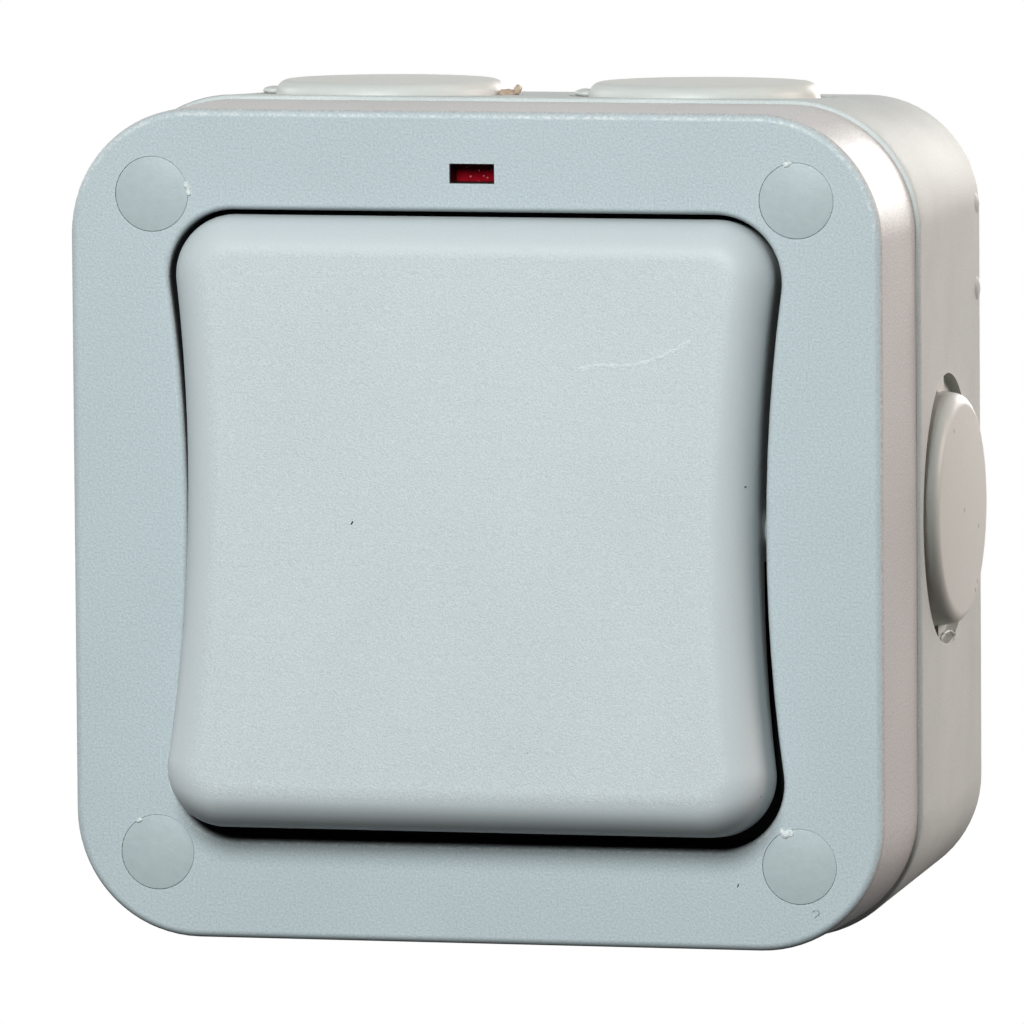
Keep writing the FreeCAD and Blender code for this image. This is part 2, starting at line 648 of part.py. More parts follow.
def make_front_cover():
    body = new_body("front_cover")
    sketch = front_sketch(body, seam)
    draw_rounded_rectangle(sketch, s.cover_width, s.cover_height, s.cover_corner)
    block = pad(body, sketch, s.cover_depth)
    rounded = round_edges(body, block, front, s.cover_edge_round)
    chamfer_edges(body, rounded, seam, s.seam_chamfer)
    for inset, depth in ((s.skirt_wall, s.cover_depth - s.cover_plate), (s.rebate_lip, s.rebate_depth)):
        sketch = front_sketch(body, seam)
        draw_rounded_rectangle(sketch, s.cover_width - inset * 2, s.cover_height - inset * 2,
                               s.cover_corner - inset)
        pocket(body, sketch, depth, reverse=True)
    sketch = front_sketch(body, pan_back)
    draw_hourglass(sketch, aperture_height + s.pan_wall * 2, aperture_waist + s.pan_wall * 2,
                   aperture_shoulder, s.aperture_corner + s.pan_wall)
    pad(body, sketch, plate_back - pan_back)
    sketch = front_sketch(body, front)
    draw_hourglass(sketch, aperture_height, aperture_waist, aperture_shoulder, s.aperture_corner)
    pan = pocket(body, sketch, s.pan_depth)
    round_edges(body, pan, front, s.aperture_edge_round, half_width=aperture_waist / 2 + s.aperture_corner / 2)
    add_screw_pillars(body)
    add_pan_details(body)
    add_neon_window(body)
    return body


def add_screw_pillars(body):
    """Hollow pillars that take the caps and the cover screws."""
    sketch = front_sketch(body, gasket_seat)
    draw_four_circles(sketch, *cap_pitches, s.cover_pillar)
    pad(body, sketch, plate_back - gasket_seat)
    sketch = front_sketch(body, front)
    draw_four_circles(sketch, *cap_pitches, s.cap_diameter + s.cap_clearance * 2)
    pocket(body, sketch, s.cap_pocket_depth)
    sketch = front_sketch(body, screw_seat)
    draw_four_circles(sketch, *cap_pitches, s.cover_screw + s.cover_screw_clearance * 2)
    pocket(body, sketch, screw_seat - gasket_seat)


def add_pan_details(body):
    """The dolly's slot, the bosses for the mechanism's screws and the rocker's bearings."""
    sketch = front_sketch(body, pan_front)
    draw_rectangle(sketch, s.stem_slot_width, s.stem_slot_height)
    pocket(body, sketch, s.pan_floor)
    sketch = front_sketch(body, housing_front)
    for side in SIDES.values():
        draw_circle(sketch, s.lug_pitch / 2 * side, 0.0, s.lug_diameter)
    pad(body, sketch, s.seal_flange)
    sketch = front_sketch(body, housing_front)
    for side in SIDES.values():
        draw_circle(sketch, s.lug_pitch / 2 * side, 0.0, s.mechanism_screw + s.thread_clearance * 2)
    pocket(body, sketch, s.mechanism_screw_grip, reverse=True)
    bearing_end = (aperture_waist / 2 - s.rocker_gap_side) + s.trunnion_length + s.trunnion_end_gap
    bearing_depth = bearing_end - aperture_waist / 2 + s.rocker_gap_side
    for side in SIDES.values():
        sketch = side_sketch(body, bearing_end * side)
        draw_circle(sketch, -pivot, 0.0, s.trunnion + s.trunnion_clearance * 2)
        pocket(body, sketch, bearing_depth, reverse=side < 0)


def add_neon_window(body):
    """A small window in the front and two ribs behind it that hold the lens."""
    sketch = front_sketch(body, front)
    draw_rectangle(sketch, s.window_width, s.window_height, y=window_middle)
    pocket(body, sketch, s.cover_plate)
    rib_middle = s.lens_width / 2 + s.lens_clearance + s.lens_rib / 2
    sketch = front_sketch(body, plate_back)
    for side in SIDES.values():
        draw_rectangle(sketch, s.lens_rib, s.lens_height, rib_middle * side, window_middle)
    pad(body, sketch, s.lens_depth, reverse=True)


def make_screw_cap(level, side):
    body = new_body(f"screw_cap_{level}_{side}")
    x, z = cap_pitches[0] / 2 * SIDES[side], cap_pitches[1] / 2 * LEVELS[level]
    sketch = front_sketch(body, front - s.cap_height)
    draw_circle(sketch, x, z, s.cap_diameter)
    disc = pad(body, sketch, s.cap_height)
    round_edges(body, disc, front, s.cap_edge_round)
    sketch = front_sketch(body, front - s.cap_height)
    draw_circle(sketch, x, z, s.cap_diameter - s.cap_wall * 2)
    pocket(body, sketch, s.cap_height - s.cap_wall, reverse=True)
    return body


def make_cover_screws():
    return group("cover_screws", [
        screw(f"cover_screw_{index}", x, z, screw_seat, s.cover_screw_head, s.cover_screw_head_height,
              s.cover_screw, s.cover_screw_length)
        for index, (x, z) in enumerate(four_corners(*cap_pitches))])


def make_neon_lens():
    """A clear red block behind the window, with a trough in its back for the lamp."""
    body = new_body("neon_lens")
    trough = s.lamp_diameter + s.lamp_clearance * 2
    trough_length = s.lamp_length + s.lamp_clearance * 2
    lens_back = plate_back - s.lens_depth
    sketch = front_sketch(body, plate_back)
    draw_rectangle(sketch, s.lens_width, s.lens_height, y=window_middle)
    pad(body, sketch, s.lens_depth, reverse=True)
    sketch = front_sketch(body, lens_back)
    draw_rectangle(sketch, trough_length, trough, y=window_middle)
    pocket(body, sketch, trough / 2, reverse=True)
    sketch = side_sketch(body, -trough_length / 2)
    draw_circle(sketch, -lens_back - trough / 2, window_middle, trough)
    pocket(body, sketch, trough_length, reverse=True)
    return body


def make_neon_lamp():
    """A glass capsule that lies in the lens's trough."""
    trough = s.lamp_diameter + s.lamp_clearance * 2
    middle = plate_back - s.lens_depth + trough / 2
    radius = s.lamp_diameter / 2
    straight = s.lamp_length - s.lamp_diameter
    tube = doc.addObject("Part::Cylinder", "lamp_tube")
    bind(tube, "Radius", radius)
    bind(tube, "Height", straight)
    tube.Placement = FreeCAD.Placement(FreeCAD.Vector(), FreeCAD.Rotation(FreeCAD.Vector(0, 1, 0), 90))
    place(tube, -straight / 2, -middle, window_middle)
    lamp = tube
    for side, across in SIDES.items():
        end = doc.addObject("Part::Sphere", f"lamp_end_{side}")
        bind(end, "Radius", radius)
        place(end, straight / 2 * across, -middle, window_middle)
        lamp = combine("Fuse", f"lamp_with_{side}", lamp, end)
    lamp.Label = "neon_lamp"
    return lamp


# Rocker and dolly, modelled level and then tilted to OFF

def rocker_outline(inset=0.0):
    inset = as_size(inset)
    return [aperture_height - (s.rocker_gap_end + inset) * 2, aperture_waist - (s.rocker_gap_side + inset) * 2,
            aperture_shoulder, s.rocker_corner - inset]


def make_rocker():
    body = new_body("rocker")
    sketch = front_sketch(body, rocker_back)
    draw_hourglass(sketch, *rocker_outline())
    block = pad(body, sketch, s.rocker_skirt + s.rocker_proud)
    round_edges(body, block, front + s.rocker_proud, s.rocker_round)
    sketch = front_sketch(body, rocker_back)
    draw_hourglass(sketch, *rocker_outline(s.rocker_wall))
    pocket(body, sketch, rocker_inside - rocker_back, reverse=True)
    add_dolly_socket(body)
    for side in SIDES.values():
        add_trunnion(body, side)
    turn_about_x(body, pivot, -s.rocker_tilt)
    return body


def add_dolly_socket(body):
    """A square socket in the middle and a rib to each side of it, from wall to wall."""
    sketch = front_sketch(body, rocker_inside)
    width, height = s.dolly_width + s.dolly_clearance * 2, s.dolly_height + s.dolly_clearance * 2
    draw_rectangle(sketch, width + s.socket_wall * 2, height + s.socket_wall * 2)
    draw_rectangle(sketch, width, height)
    pad(body, sketch, s.socket_depth, reverse=True)
    rib_length = aperture_waist - (s.rocker_gap_side + s.rocker_wall / 2) * 2
    sketch = front_sketch(body, rocker_inside)
    for level in LEVELS.values():
        draw_rectangle(sketch, rib_length, s.rocker_rib, y=s.rocker_rib_pitch / 2 * level)
    pad(body, sketch, s.rocker_rib_depth, reverse=True)


def add_trunnion(body, side):
    """An ear behind the rocker's rim, with the trunnion on its outer face."""
    outside = aperture_waist / 2 - s.rocker_gap_side
    ear_top = -rocker_back - s.ear_overlap
    sketch = side_sketch(body, (outside - s.rocker_wall) * side)
    half = s.ear_width / 2
    draw_polygon(sketch, [(ear_top, -half), (-pivot, -half), (-pivot, half), (ear_top, half)])
    pad(body, sketch, s.rocker_wall, reverse=side < 0)
    sketch = side_sketch(body, (outside - s.rocker_wall) * side)
    draw_circle(sketch, -pivot, 0.0, s.ear_width)
    pad(body, sketch, s.rocker_wall, reverse=side < 0)
    sketch = side_sketch(body, outside * side)
    draw_circle(sketch, -pivot, 0.0, s.trunnion)
    pad(body, sketch, s.trunnion_length, reverse=side < 0)


def make_dolly():
    body = new_body("dolly")
    sketch = front_sketch(body, rocker_inside)
    draw_rectangle(sketch, s.dolly_width, s.dolly_height)
    pad(body, sketch, rocker_inside - dolly_end, reverse=True)
    sketch = front_sketch(body, dolly_end)
    for side in SIDES.values():
        draw_circle(sketch, s.pole_pitch / 2 * side, 0.0, s.plunger_diameter + s.plunger_clearance * 2)
    pocket(body, sketch, s.plunger_bore_depth, reverse=True)
    turn_about_x(body, pivot, -s.rocker_tilt)
    return body


def plunger_top():
    tip_middle = pivot - s.plunger_tip_reach + s.plunger_diameter / 2
    return tip_middle + s.plunger_body


def make_plunger(side):
    """A round bar with a ball end, in its bore of the dolly."""
    x = s.pole_pitch / 2 * SIDES[side]
    stem = bar(f"plunger_{side}_stem", x, 0.0, plunger_top(), s.plunger_diameter, s.plunger_body)
    tip = doc.addObject("Part::Sphere", f"plunger_{side}_tip")
    bind(tip, "Radius", s.plunger_diameter / 2)
    place(tip, x, s.plunger_body - plunger_top(), 0.0)
    plunger = combine("Fuse", f"plunger_{side}", stem, tip)
    turn_about_x(plunger, pivot, -s.rocker_tilt)
    return plunger


def make_plunger_spring(side):
    """A coil of flat-sided wire between the plunger and the end of its bore."""
    body = new_body(f"plunger_spring_{side}")
    first = plunger_top() + s.spring_end_gap + s.spring_wire / 2
    last = dolly_end + s.plunger_bore_depth - s.spring_end_gap - s.spring_wire / 2
    sketch = top_sketch(body, 0.0)
    draw_rectangle(sketch, s.spring_wire, s.spring_wire, s.spring_diameter / 2, -first)
    coil = body.newObject("PartDesign::AdditiveHelix", f"{body.Name}_helix")
    coil.Profile = sketch
    coil.ReferenceAxis = (sketch, ["V_Axis"])
    coil.Mode = "pitch-height-angle"
    coil.Reversed = True
    bind(coil, "Pitch", (last - first) / s.spring_turns)
    bind(coil, "Height", last - first)
    turn_about_x(body, pivot, -s.rocker_tilt)
    bind(body, "Placement.Base.x", s.pole_pitch / 2 * SIDES[side])
    return body


def make_rocker_seal():
    """A rubber plate clamped under the pan, with a slot that leaves the dolly its travel."""
    body = new_body("rocker_seal")
    depth = pivot - housing_front
    slot = s.dolly_height + (depth * sine(s.rocker_tilt) + s.seal_gap) * 2
    sketch = front_sketch(body, housing_front)
    draw_rounded_rectangle(sketch, s.seal_width, s.seal_height, s.seal_corner)
    draw_rectangle(sketch, s.dolly_width + s.seal_gap * 2, slot)
    pad(body, sketch, s.seal_flange)
    return body


# Switch mechanism behind the cover

def make_mechanism_housing():
    """A box that is open to the back, with a slot for the dolly and a lug for a screw on each side."""
    body = new_body("mechanism_housing")
    sketch = front_sketch(body, base_front)
    draw_rounded_rectangle(sketch, s.housing_width, s.housing_height, s.housing_corner)
    pad(body, sketch, s.housing_depth)
    add_lugs(body, base_front, s.housing_depth)
    sketch = front_sketch(body, base_front)
    draw_rectangle(sketch, s.housing_width - s.housing_wall * 2, s.housing_height - s.housing_wall * 2)
    pocket(body, sketch, s.housing_depth - s.housing_wall, reverse=True)
    sketch = front_sketch(body, housing_front)
    draw_rectangle(sketch, s.stem_slot_width, s.stem_slot_height)
    pocket(body, sketch, s.housing_wall)
    return body


def add_lugs(body, reach, length):
    """A lug on each side, with a web to the wall and a hole for the screw."""
    web = s.lug_pitch / 2 - s.housing_width / 2 + s.housing_wall / 2
    for side in SIDES.values():
        sketch = front_sketch(body, reach)
        draw_circle(sketch, s.lug_pitch / 2 * side, 0.0, s.lug_diameter)
        pad(body, sketch, length)
        sketch = front_sketch(body, reach)
        draw_rectangle(sketch, web, s.lug_diameter, (s.lug_pitch / 2 - web / 2) * side, 0.0)
        pad(body, sketch, length)
        sketch = front_sketch(body, reach)
        draw_circle(sketch, s.lug_pitch / 2 * side, 0.0, s.mechanism_screw + s.mechanism_screw_clearance * 2)
        pocket(body, sketch, length, reverse=True)


def make_mechanism_base():
    """A plate that closes the housing, with slots for the brass and open-ended walls round the blocks."""
    body = new_body("mechanism_base")
    sketch = front_sketch(body, base_back)
    draw_rounded_rectangle(sketch, s.housing_width, s.housing_height, s.housing_corner)
    pad(body, sketch, s.base_thickness)
    add_lugs(body, base_back, s.base_thickness)
    brass = [s.terminal_width + s.terminal_clearance * 2, s.terminal_height + s.terminal_clearance * 2]
    tail = [s.blade_width + s.terminal_clearance * 2, s.strip_thickness + s.terminal_clearance * 2]
    for level in LEVELS.values():
        for side in SIDES.values():
            x, z = terminal_place(side, level)
            sketch = front_sketch(body, base_back)
            draw_rectangle(sketch, *(size + s.shroud_wall * 2 for size in brass), x, z)
            draw_rectangle(sketch, *brass, x, z)
            pad(body, sketch, s.shroud_depth, reverse=True)
            sketch = front_sketch(body, base_back)
            draw_rectangle(sketch, s.terminal_bore + s.cable_slot_clearance * 2, s.shroud_wall,
                           x, z + (brass[1] + s.shroud_wall) / 2 * level)
            pocket(body, sketch, s.shroud_depth)
            sketch = front_sketch(body, base_front)
            draw_rectangle(sketch, *tail, s.pole_pitch / 2 * side, z)
            pocket(body, sketch, s.base_thickness)
    return body


def terminal_place(side, level):
    return s.pole_pitch / 2 * side, s.terminal_middle * level


def make_terminal(label, side, level, inner_end):
    """A brass strip on the base's front, a tail through the base and a bored block behind it."""
    body = new_body(label)
    x, z = terminal_place(side, level)
    outer_end = z + s.strip_thickness / 2 * level
    sketch = front_sketch(body, base_front)
    draw_rectangle(sketch, s.blade_width, (outer_end - inner_end) * level, x, (outer_end + inner_end) / 2)
    pad(body, sketch, s.strip_thickness)
    sketch = front_sketch(body, base_front)
    draw_rectangle(sketch, s.blade_width, s.strip_thickness, x, z)
    pad(body, sketch, s.base_thickness, reverse=True)
    sketch = front_sketch(body, base_back)
    draw_rectangle(sketch, s.terminal_width, s.terminal_height, x, z)
    pad(body, sketch, s.terminal_depth, reverse=True)
    sketch = top_sketch(body, z + s.terminal_height / 2)
    draw_circle(sketch, x, -base_back + s.terminal_depth / 2 - s.terminal_screw_proud, s.terminal_bore)
    pocket(body, sketch, s.terminal_height)
    sketch = front_sketch(body, base_back - s.terminal_depth)
    draw_circle(sketch, x, z, s.terminal_screw + s.thread_clearance * 2)
    pocket(body, sketch, s.terminal_screw_length - s.terminal_screw_proud, reverse=True)
    return body


def make_supply_terminal(side):
    """The lower terminal, whose strip carries the cradle that a blade rocks in."""
    body = make_terminal(f"supply_terminal_{side}", SIDES[side], -1, s.cradle_height / 2)
    cradle_front = blade_axis - s.cradle_front
    x = s.pole_pitch / 2 * SIDES[side]
    sketch = front_sketch(body, strip_front)
    draw_rectangle(sketch, s.cradle_width, s.cradle_height, x, 0.0)
    pad(body, sketch, cradle_front - strip_front)
    sketch = side_sketch(body, x + s.cradle_width / 2)
    draw_circle(sketch, -blade_axis, 0.0, (s.knuckle_radius + s.knuckle_clearance) * 2)
    pocket(body, sketch, s.cradle_width)
    return body


def fixed_contact_front():
    """Where the fixed contact's face lies: just behind the blade's button when the switch is on."""
    button_back = s.contact_thickness - s.blade_front + s.blade_thickness
    button_edge = s.contact_height + s.contact_diameter / 2
    deepest = button_back * cosine(s.contact_tilt) + button_edge * sine(s.contact_tilt)
    return blade_axis - deepest - s.contact_gap


def make_load_terminal(side):
    """The upper terminal, whose strip carries the fixed contact."""
    inner_end = s.contact_height - s.contact_diameter / 2
    body = make_terminal(f"load_terminal_{side}", SIDES[side], 1, inner_end)
    x = s.pole_pitch / 2 * SIDES[side]
    sketch = front_sketch(body, strip_front)
    draw_circle(sketch, x, s.contact_height, s.contact_diameter)
    pad(body, sketch, fixed_contact_front() - strip_front)
    return body


def make_moving_contact(side):
    """A see-saw blade with a round knuckle under its middle and a contact button near its upper end."""
    body = new_body(f"moving_contact_{side}")
    x = s.pole_pitch / 2 * SIDES[side]
    blade_back = blade_axis + s.blade_front - s.blade_thickness
    sketch = front_sketch(body, blade_back)
    draw_rectangle(sketch, s.blade_width, s.blade_length, x, 0.0)
    pad(body, sketch, s.blade_thickness)
    sketch = side_sketch(body, x - s.cradle_width / 2)
    draw_circle(sketch, -blade_axis, 0.0, s.knuckle_radius * 2)
    pad(body, sketch, s.cradle_width)
    sketch = front_sketch(body, blade_back)
    draw_circle(sketch, x, s.contact_height, s.contact_diameter)
    pad(body, sketch, s.contact_thickness, reverse=True)
    turn_about_x(body, blade_axis, s.contact_tilt)
    return body


def make_terminal_screws():
    members = []
    reach = base_back - s.terminal_depth + s.terminal_screw_length - s.terminal_screw_proud
    for level, up in LEVELS.items():
        for side, across in SIDES.items():
            x, z = terminal_place(across, up)
            members.append(bar(f"terminal_screw_{level}_{side}", x, z, reach, s.terminal_screw,
                               s.terminal_screw_length))
    return group("terminal_screws", members)


def make_mechanism_screws():
    """Two long screws, put in from behind, that hold base, housing and seal to the cover."""
    members = []
    length = housing_front - base_back + s.mechanism_screw_grip
    for side, across in SIDES.items():
        x = s.lug_pitch / 2 * across
        head = bar(f"mechanism_screw_{side}_head", x, 0.0, base_back, s.mechanism_screw_head,
                   s.mechanism_screw_head_height)
        shank = bar(f"mechanism_screw_{side}_shank", x, 0.0, base_back + length, s.mechanism_screw, length)
        members.append(combine("Fuse", f"mechanism_screw_{side}", head, shank))
    return group("mechanism_screws", members)


def make_earth_cradle():
    """A frame on the box's floor that holds the earth terminal."""
    body = new_body("earth_cradle")
    inside = [s.earth_width + s.terminal_clearance * 2, s.earth_height + s.terminal_clearance * 2]
    sketch = front_sketch(body, s.box_floor)
    draw_rectangle(sketch, *(size + s.earth_cradle_wall * 2 for size in inside), y=s.earth_middle)
    draw_rectangle(sketch, *inside, y=s.earth_middle)
    pad(body, sketch, s.earth_cradle_depth)
    return body


def make_earth_terminal():
    body = new_body("earth_terminal")
    sketch = front_sketch(body, s.box_floor)
    draw_rectangle(sketch, s.earth_width, s.earth_height, y=s.earth_middle)
    pad(body, sketch, s.earth_depth)
    sketch = side_sketch(body, s.earth_width / 2)
    bore_reach = s.box_floor + s.earth_cradle_depth + s.terminal_bore / 2
    draw_circle(sketch, -bore_reach, s.earth_middle, s.terminal_bore)
    pocket(body, sketch, s.earth_width)
    sketch = front_sketch(body, s.box_floor + s.earth_depth)
    draw_circle(sketch, 0.0, s.earth_middle, s.terminal_screw + s.thread_clearance * 2)
    pocket(body, sketch, s.terminal_screw_length - s.terminal_screw_proud)
    return body


def make_earth_screw():
    reach = s.box_floor + s.earth_depth + s.terminal_screw_proud
    earth_screw = bar("earth_screw", 0.0, s.earth_middle, reach, s.terminal_screw, s.terminal_screw_length)
    return earth_screw


def make_parts():
    parts = [make_back_box(), make_front_cover(), make_cover_gasket(), make_cover_screws(),
             make_cover_screw_inserts(), make_neon_lens(), make_neon_lamp(), make_rocker(), make_dolly(),
             make_rocker_seal(), make_mechanism_housing(), make_mechanism_base(), make_mechanism_screws(),
             make_terminal_screws(), make_earth_cradle(), make_earth_terminal(), make_earth_screw()]
    for entry in entries():
        parts.append(make_blanking_plug(*entry))
    for level in LEVELS:
        for side in SIDES:
            parts.append(make_screw_cap(level, side))
    for side in SIDES:
        parts += [make_plunger(side), make_plunger_spring(side), make_moving_contact(side),
                  make_supply_terminal(side), make_load_terminal(side)]
    return parts


def check(parts):
    """Stop before anything is written if an object failed or a shape is missing or broken."""
    for item in doc.Objects:
        if "Invalid" in item.State or "Error" in item.State:
            raise RuntimeError(f"{item.Label} failed: {item.State}")
    for part in parts:
        if part.Shape.isNull() or not part.Shape.isValid() or not part.Shape.Solids:
            raise RuntimeError(f"{part.Label} has no valid solid")


parts = make_parts()
doc.recompute()
check(parts)
os.makedirs("parts", exist_ok=True)
for part in parts:
    part.Shape.exportStep(os.path.join("parts", f"{part.Label}.step"))
    box = part.Shape.BoundBox
    print(f"{part.Label}: {len(part.Shape.Solids)} solid(s), {part.Shape.Volume:.1f} mm3, "
          f"{box.XLength:.2f} x {box.YLength:.2f} x {box.ZLength:.2f}")
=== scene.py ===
"""Outdoor weatherproof switch: the finished look of the packed part.

The file is laid out as an add-on and is run as a script. The packed model is the fixed frame, in metres:
the origin is the middle of the back face, -Y is the front and +Z is up.
"""

import math

import bmesh
import bpy
from bpy.props import FloatProperty, FloatVectorProperty, PointerProperty
from bpy.types import NodeSocket, Operator, Panel, PropertyGroup
from mathutils import Matrix, Vector


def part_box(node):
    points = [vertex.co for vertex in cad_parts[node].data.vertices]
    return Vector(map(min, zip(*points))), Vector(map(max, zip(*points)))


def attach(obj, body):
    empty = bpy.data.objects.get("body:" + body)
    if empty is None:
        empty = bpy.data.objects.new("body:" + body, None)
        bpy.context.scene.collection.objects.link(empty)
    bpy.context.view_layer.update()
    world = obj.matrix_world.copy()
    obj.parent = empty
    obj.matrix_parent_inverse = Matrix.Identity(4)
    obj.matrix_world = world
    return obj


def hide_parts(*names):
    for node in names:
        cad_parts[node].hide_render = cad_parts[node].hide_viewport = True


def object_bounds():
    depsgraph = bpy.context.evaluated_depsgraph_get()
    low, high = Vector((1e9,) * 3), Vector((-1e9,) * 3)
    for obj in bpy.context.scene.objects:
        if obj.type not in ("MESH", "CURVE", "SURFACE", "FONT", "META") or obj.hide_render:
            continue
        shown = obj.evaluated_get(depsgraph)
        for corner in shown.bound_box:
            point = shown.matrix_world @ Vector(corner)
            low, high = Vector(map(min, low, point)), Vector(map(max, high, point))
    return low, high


bl_info = {
    "name": "Weatherproof switch",
    "version": (1, 0, 0),
    "blender": (4, 5, 0),
    "location": "View3D > Sidebar > Switch",
    "description": "Dresses the packed weatherproof switch and sets up its studio",
    "category": "Object",
}

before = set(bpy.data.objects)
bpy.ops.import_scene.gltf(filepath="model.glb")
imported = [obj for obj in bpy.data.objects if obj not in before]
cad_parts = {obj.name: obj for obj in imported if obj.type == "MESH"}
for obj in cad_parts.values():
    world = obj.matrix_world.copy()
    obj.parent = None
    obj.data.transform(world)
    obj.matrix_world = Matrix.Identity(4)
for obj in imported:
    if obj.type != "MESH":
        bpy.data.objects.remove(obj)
CAD_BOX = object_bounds()

ENCLOSURE = "enclosure"
ROCKER = "rocker"
UNTURNED = (0.0, 0.0, 0.0)
UPSIDE_DOWN = (math.pi, 0.0, 0.0)


def linear(red, green, blue):
    """A colour of the screen, 0 to 255, as Blender's linear numbers with alpha."""
    def channel(value):
        share = value / 255
        return share / 12.92 if share <= 0.04045 else ((share + 0.055) / 1.055) ** 2.4
    return (channel(red), channel(green), channel(blue), 1.0)


def colour_property(name, description, *screen):
    return FloatVectorProperty(name=name, description=description, subtype="COLOR", size=4, min=0.0, max=1.0,
                               default=linear(*screen))


def length_property(name, description, default):
    return FloatProperty(name=name, description=description, subtype="DISTANCE", unit="LENGTH", precision=5,
                         default=default)


def vector_property(name, description, *default):
    return FloatVectorProperty(name=name, description=description, subtype="XYZ", unit="LENGTH", size=3,
                               default=default)


def angle_property(name, description, degrees):
    return FloatProperty(name=name, description=description, subtype="ANGLE", unit="ROTATION",
                         default=math.radians(degrees))


def number_property(name, description, default):
    return FloatProperty(name=name, description=description, default=default)


def power_property(name, description, default):
    return FloatProperty(name=name, description=description, subtype="POWER", default=default)


def settings_group(kind, name):
    return PointerProperty(type=kind, name=name, description=kind.__doc__)


def node_size(node):
    low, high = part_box(node)
    return high - low


# Properties

class SwitchFinish(PropertyGroup):
    """Colours and surface of the switch."""

    cover_colour: colour_property("Cover", "Moulded cover", 196, 206, 208)
    # The sides' colour is a warmer copy of the cover's: painted warm side light
    cover_side_warm_lit_colour: colour_property("Cover's sides", "Smoother sides of the cover", 199, 197, 195)
    rocker_colour: colour_property("Rocker", "Moulded rocker", 209, 215, 216)
    box_colour: colour_property("Box", "Moulded back box", 211, 216, 213)
    cap_colour: colour_property("Caps", "Screw caps", 188, 198, 199)
    plug_colour: colour_property("Plugs", "Rubber blanking plugs", 215, 216, 210)
    lens_colour: colour_property("Lens", "Red neon window", 128, 8, 22)
    brass_colour: colour_property("Brass", "Terminals and inserts", 196, 160, 88)
    steel_colour: colour_property("Steel", "Screws and springs", 168, 170, 172)
    grain_size: number_property("Grain", "Grains of the mould's surface to the metre", 4000.0)
    rub_width: length_property("Rubbed edge", "How far handling has polished an edge", 0.0004)
    smooth_angle: angle_property("Smooth below", "Edges flatter than this are shaded smooth", 60.0)


class SwitchPlug(PropertyGroup):
    """Sizes of the six blanking plugs."""

    foot: length_property("Foot radius", "Radius of a plug's head at its foot", 0.0132)
    top: length_property("Top radius", "Radius of a plug's head at its top", 0.0127)
    height: length_property("Height", "Height of a plug's head above its recess", 0.0034)
    edge_round: length_property("Edge round", "Round on a plug's top edge", 0.0015)
    neck: length_property("Neck radius", "Radius of a plug's neck in its entry", 0.01015)
    neck_depth: length_property("Neck depth", "How far the neck runs into the box", 0.0027)
    ear_width: length_property("Ear width", "Width of a pry ear", 0.0032)
    ear_height: length_property("Ear height", "Height of a pry ear above the recess", 0.0008)
    ear_reach: length_property("Ear reach", "Middle of a plug to the end of an ear", 0.0146)
    lifted_ear: vector_property("Lifted ear", "Sizes of the upper plugs' lifted ears", 0.0026, 0.0030, 0.0010)
    lean: angle_property("Lean", "How far the top plugs lean back in their entries", 1.0)


class SwitchCap(PropertyGroup):
    """Sizes of the four screw caps."""

    radius: length_property("Radius", "Radius of a screw cap", node_size("screw_cap_top_left").x / 2)
    height: length_property("Height", "Front to back of a screw cap", node_size("screw_cap_top_left").y)
    edge_round: length_property("Edge round", "Round on a cap's front edge", 0.00012)
    flash: length_property("Flash", "Width of a bit of flash on a cap's rim", 0.0013)


class SwitchWindow(PropertyGroup):
    """Sizes of the dark sleeve that paints shade on the walls of the neon window."""

    width: length_property("Width", "Outside of the sleeve, along X", 0.00506)
    height: length_property("Height", "Outside of the sleeve, along Z", 0.00216)
    wall: length_property("Wall", "Thickness of the sleeve", 0.00007)
    corner: length_property("Corner", "Corner radius of the sleeve", 0.00022)
    set_back: length_property("Set back", "How far the sleeve lies behind the cover's front", 0.00015)


class SwitchStage(PropertyGroup):
    """Camera, floor and light."""

    azimuth: angle_property("Azimuth", "Camera's turn to the right", 14.65)
    elevation: angle_property("Elevation", "Camera's height over the horizon", 5.33)
    roll: angle_property("Roll", "Camera's roll", -0.41)
    distance: length_property("Distance", "Camera to the point it looks at", 1.533)
    target: vector_property("Target", "Point that the camera looks at", 0.00429, -0.0545, 0.00196)
    focal_length: number_property("Focal length", "Camera's lens in millimetres", 490.6)
    floor_level: length_property("Floor", "Height of the floor", -0.110)
    floor_radius: length_property("Floor radius", "Where the floor has faded out", 0.35)
    sky: number_property("Sky", "Level of the light from above", 0.07)
    ground: number_property("Ground", "Level of the light from below", 0.01)
    front: number_property("Front", "Level of what the front reflects", 0.15)
    key: power_property("Key", "Power of the large lamp in front", 8.8)
    side: power_property("Side", "Power of the warm lamp on the right", 7.5)
    fill: power_property("Fill", "Power of the weak lamp on the left", 3.0)
    top: power_property("Top", "Power of the lamp overhead", 0.1)
    back: power_property("Back", "Power of the lamp behind", 4.6)


class SwitchSettings(PropertyGroup):
    """All that a user may change."""

    finish: settings_group(SwitchFinish, "Finish")
    plug: settings_group(SwitchPlug, "Plugs")
    cap: settings_group(SwitchCap, "Caps")
    window: settings_group(SwitchWindow, "Window")
    stage: settings_group(SwitchStage, "Stage")


def settings():
    return bpy.context.scene.weather_switch


# Node trees

def add_node(tree, kind, values=None, **options):
    """A node with its options set and its inputs filled by name or number."""
    node = tree.nodes.new(kind)
    for option, value in options.items():
        setattr(node, option, value)
    for socket, value in (values or {}).items():
        if isinstance(value, NodeSocket):
            tree.links.new(value, node.inputs[socket])
        else:
            node.inputs[socket].default_value = value
    return node


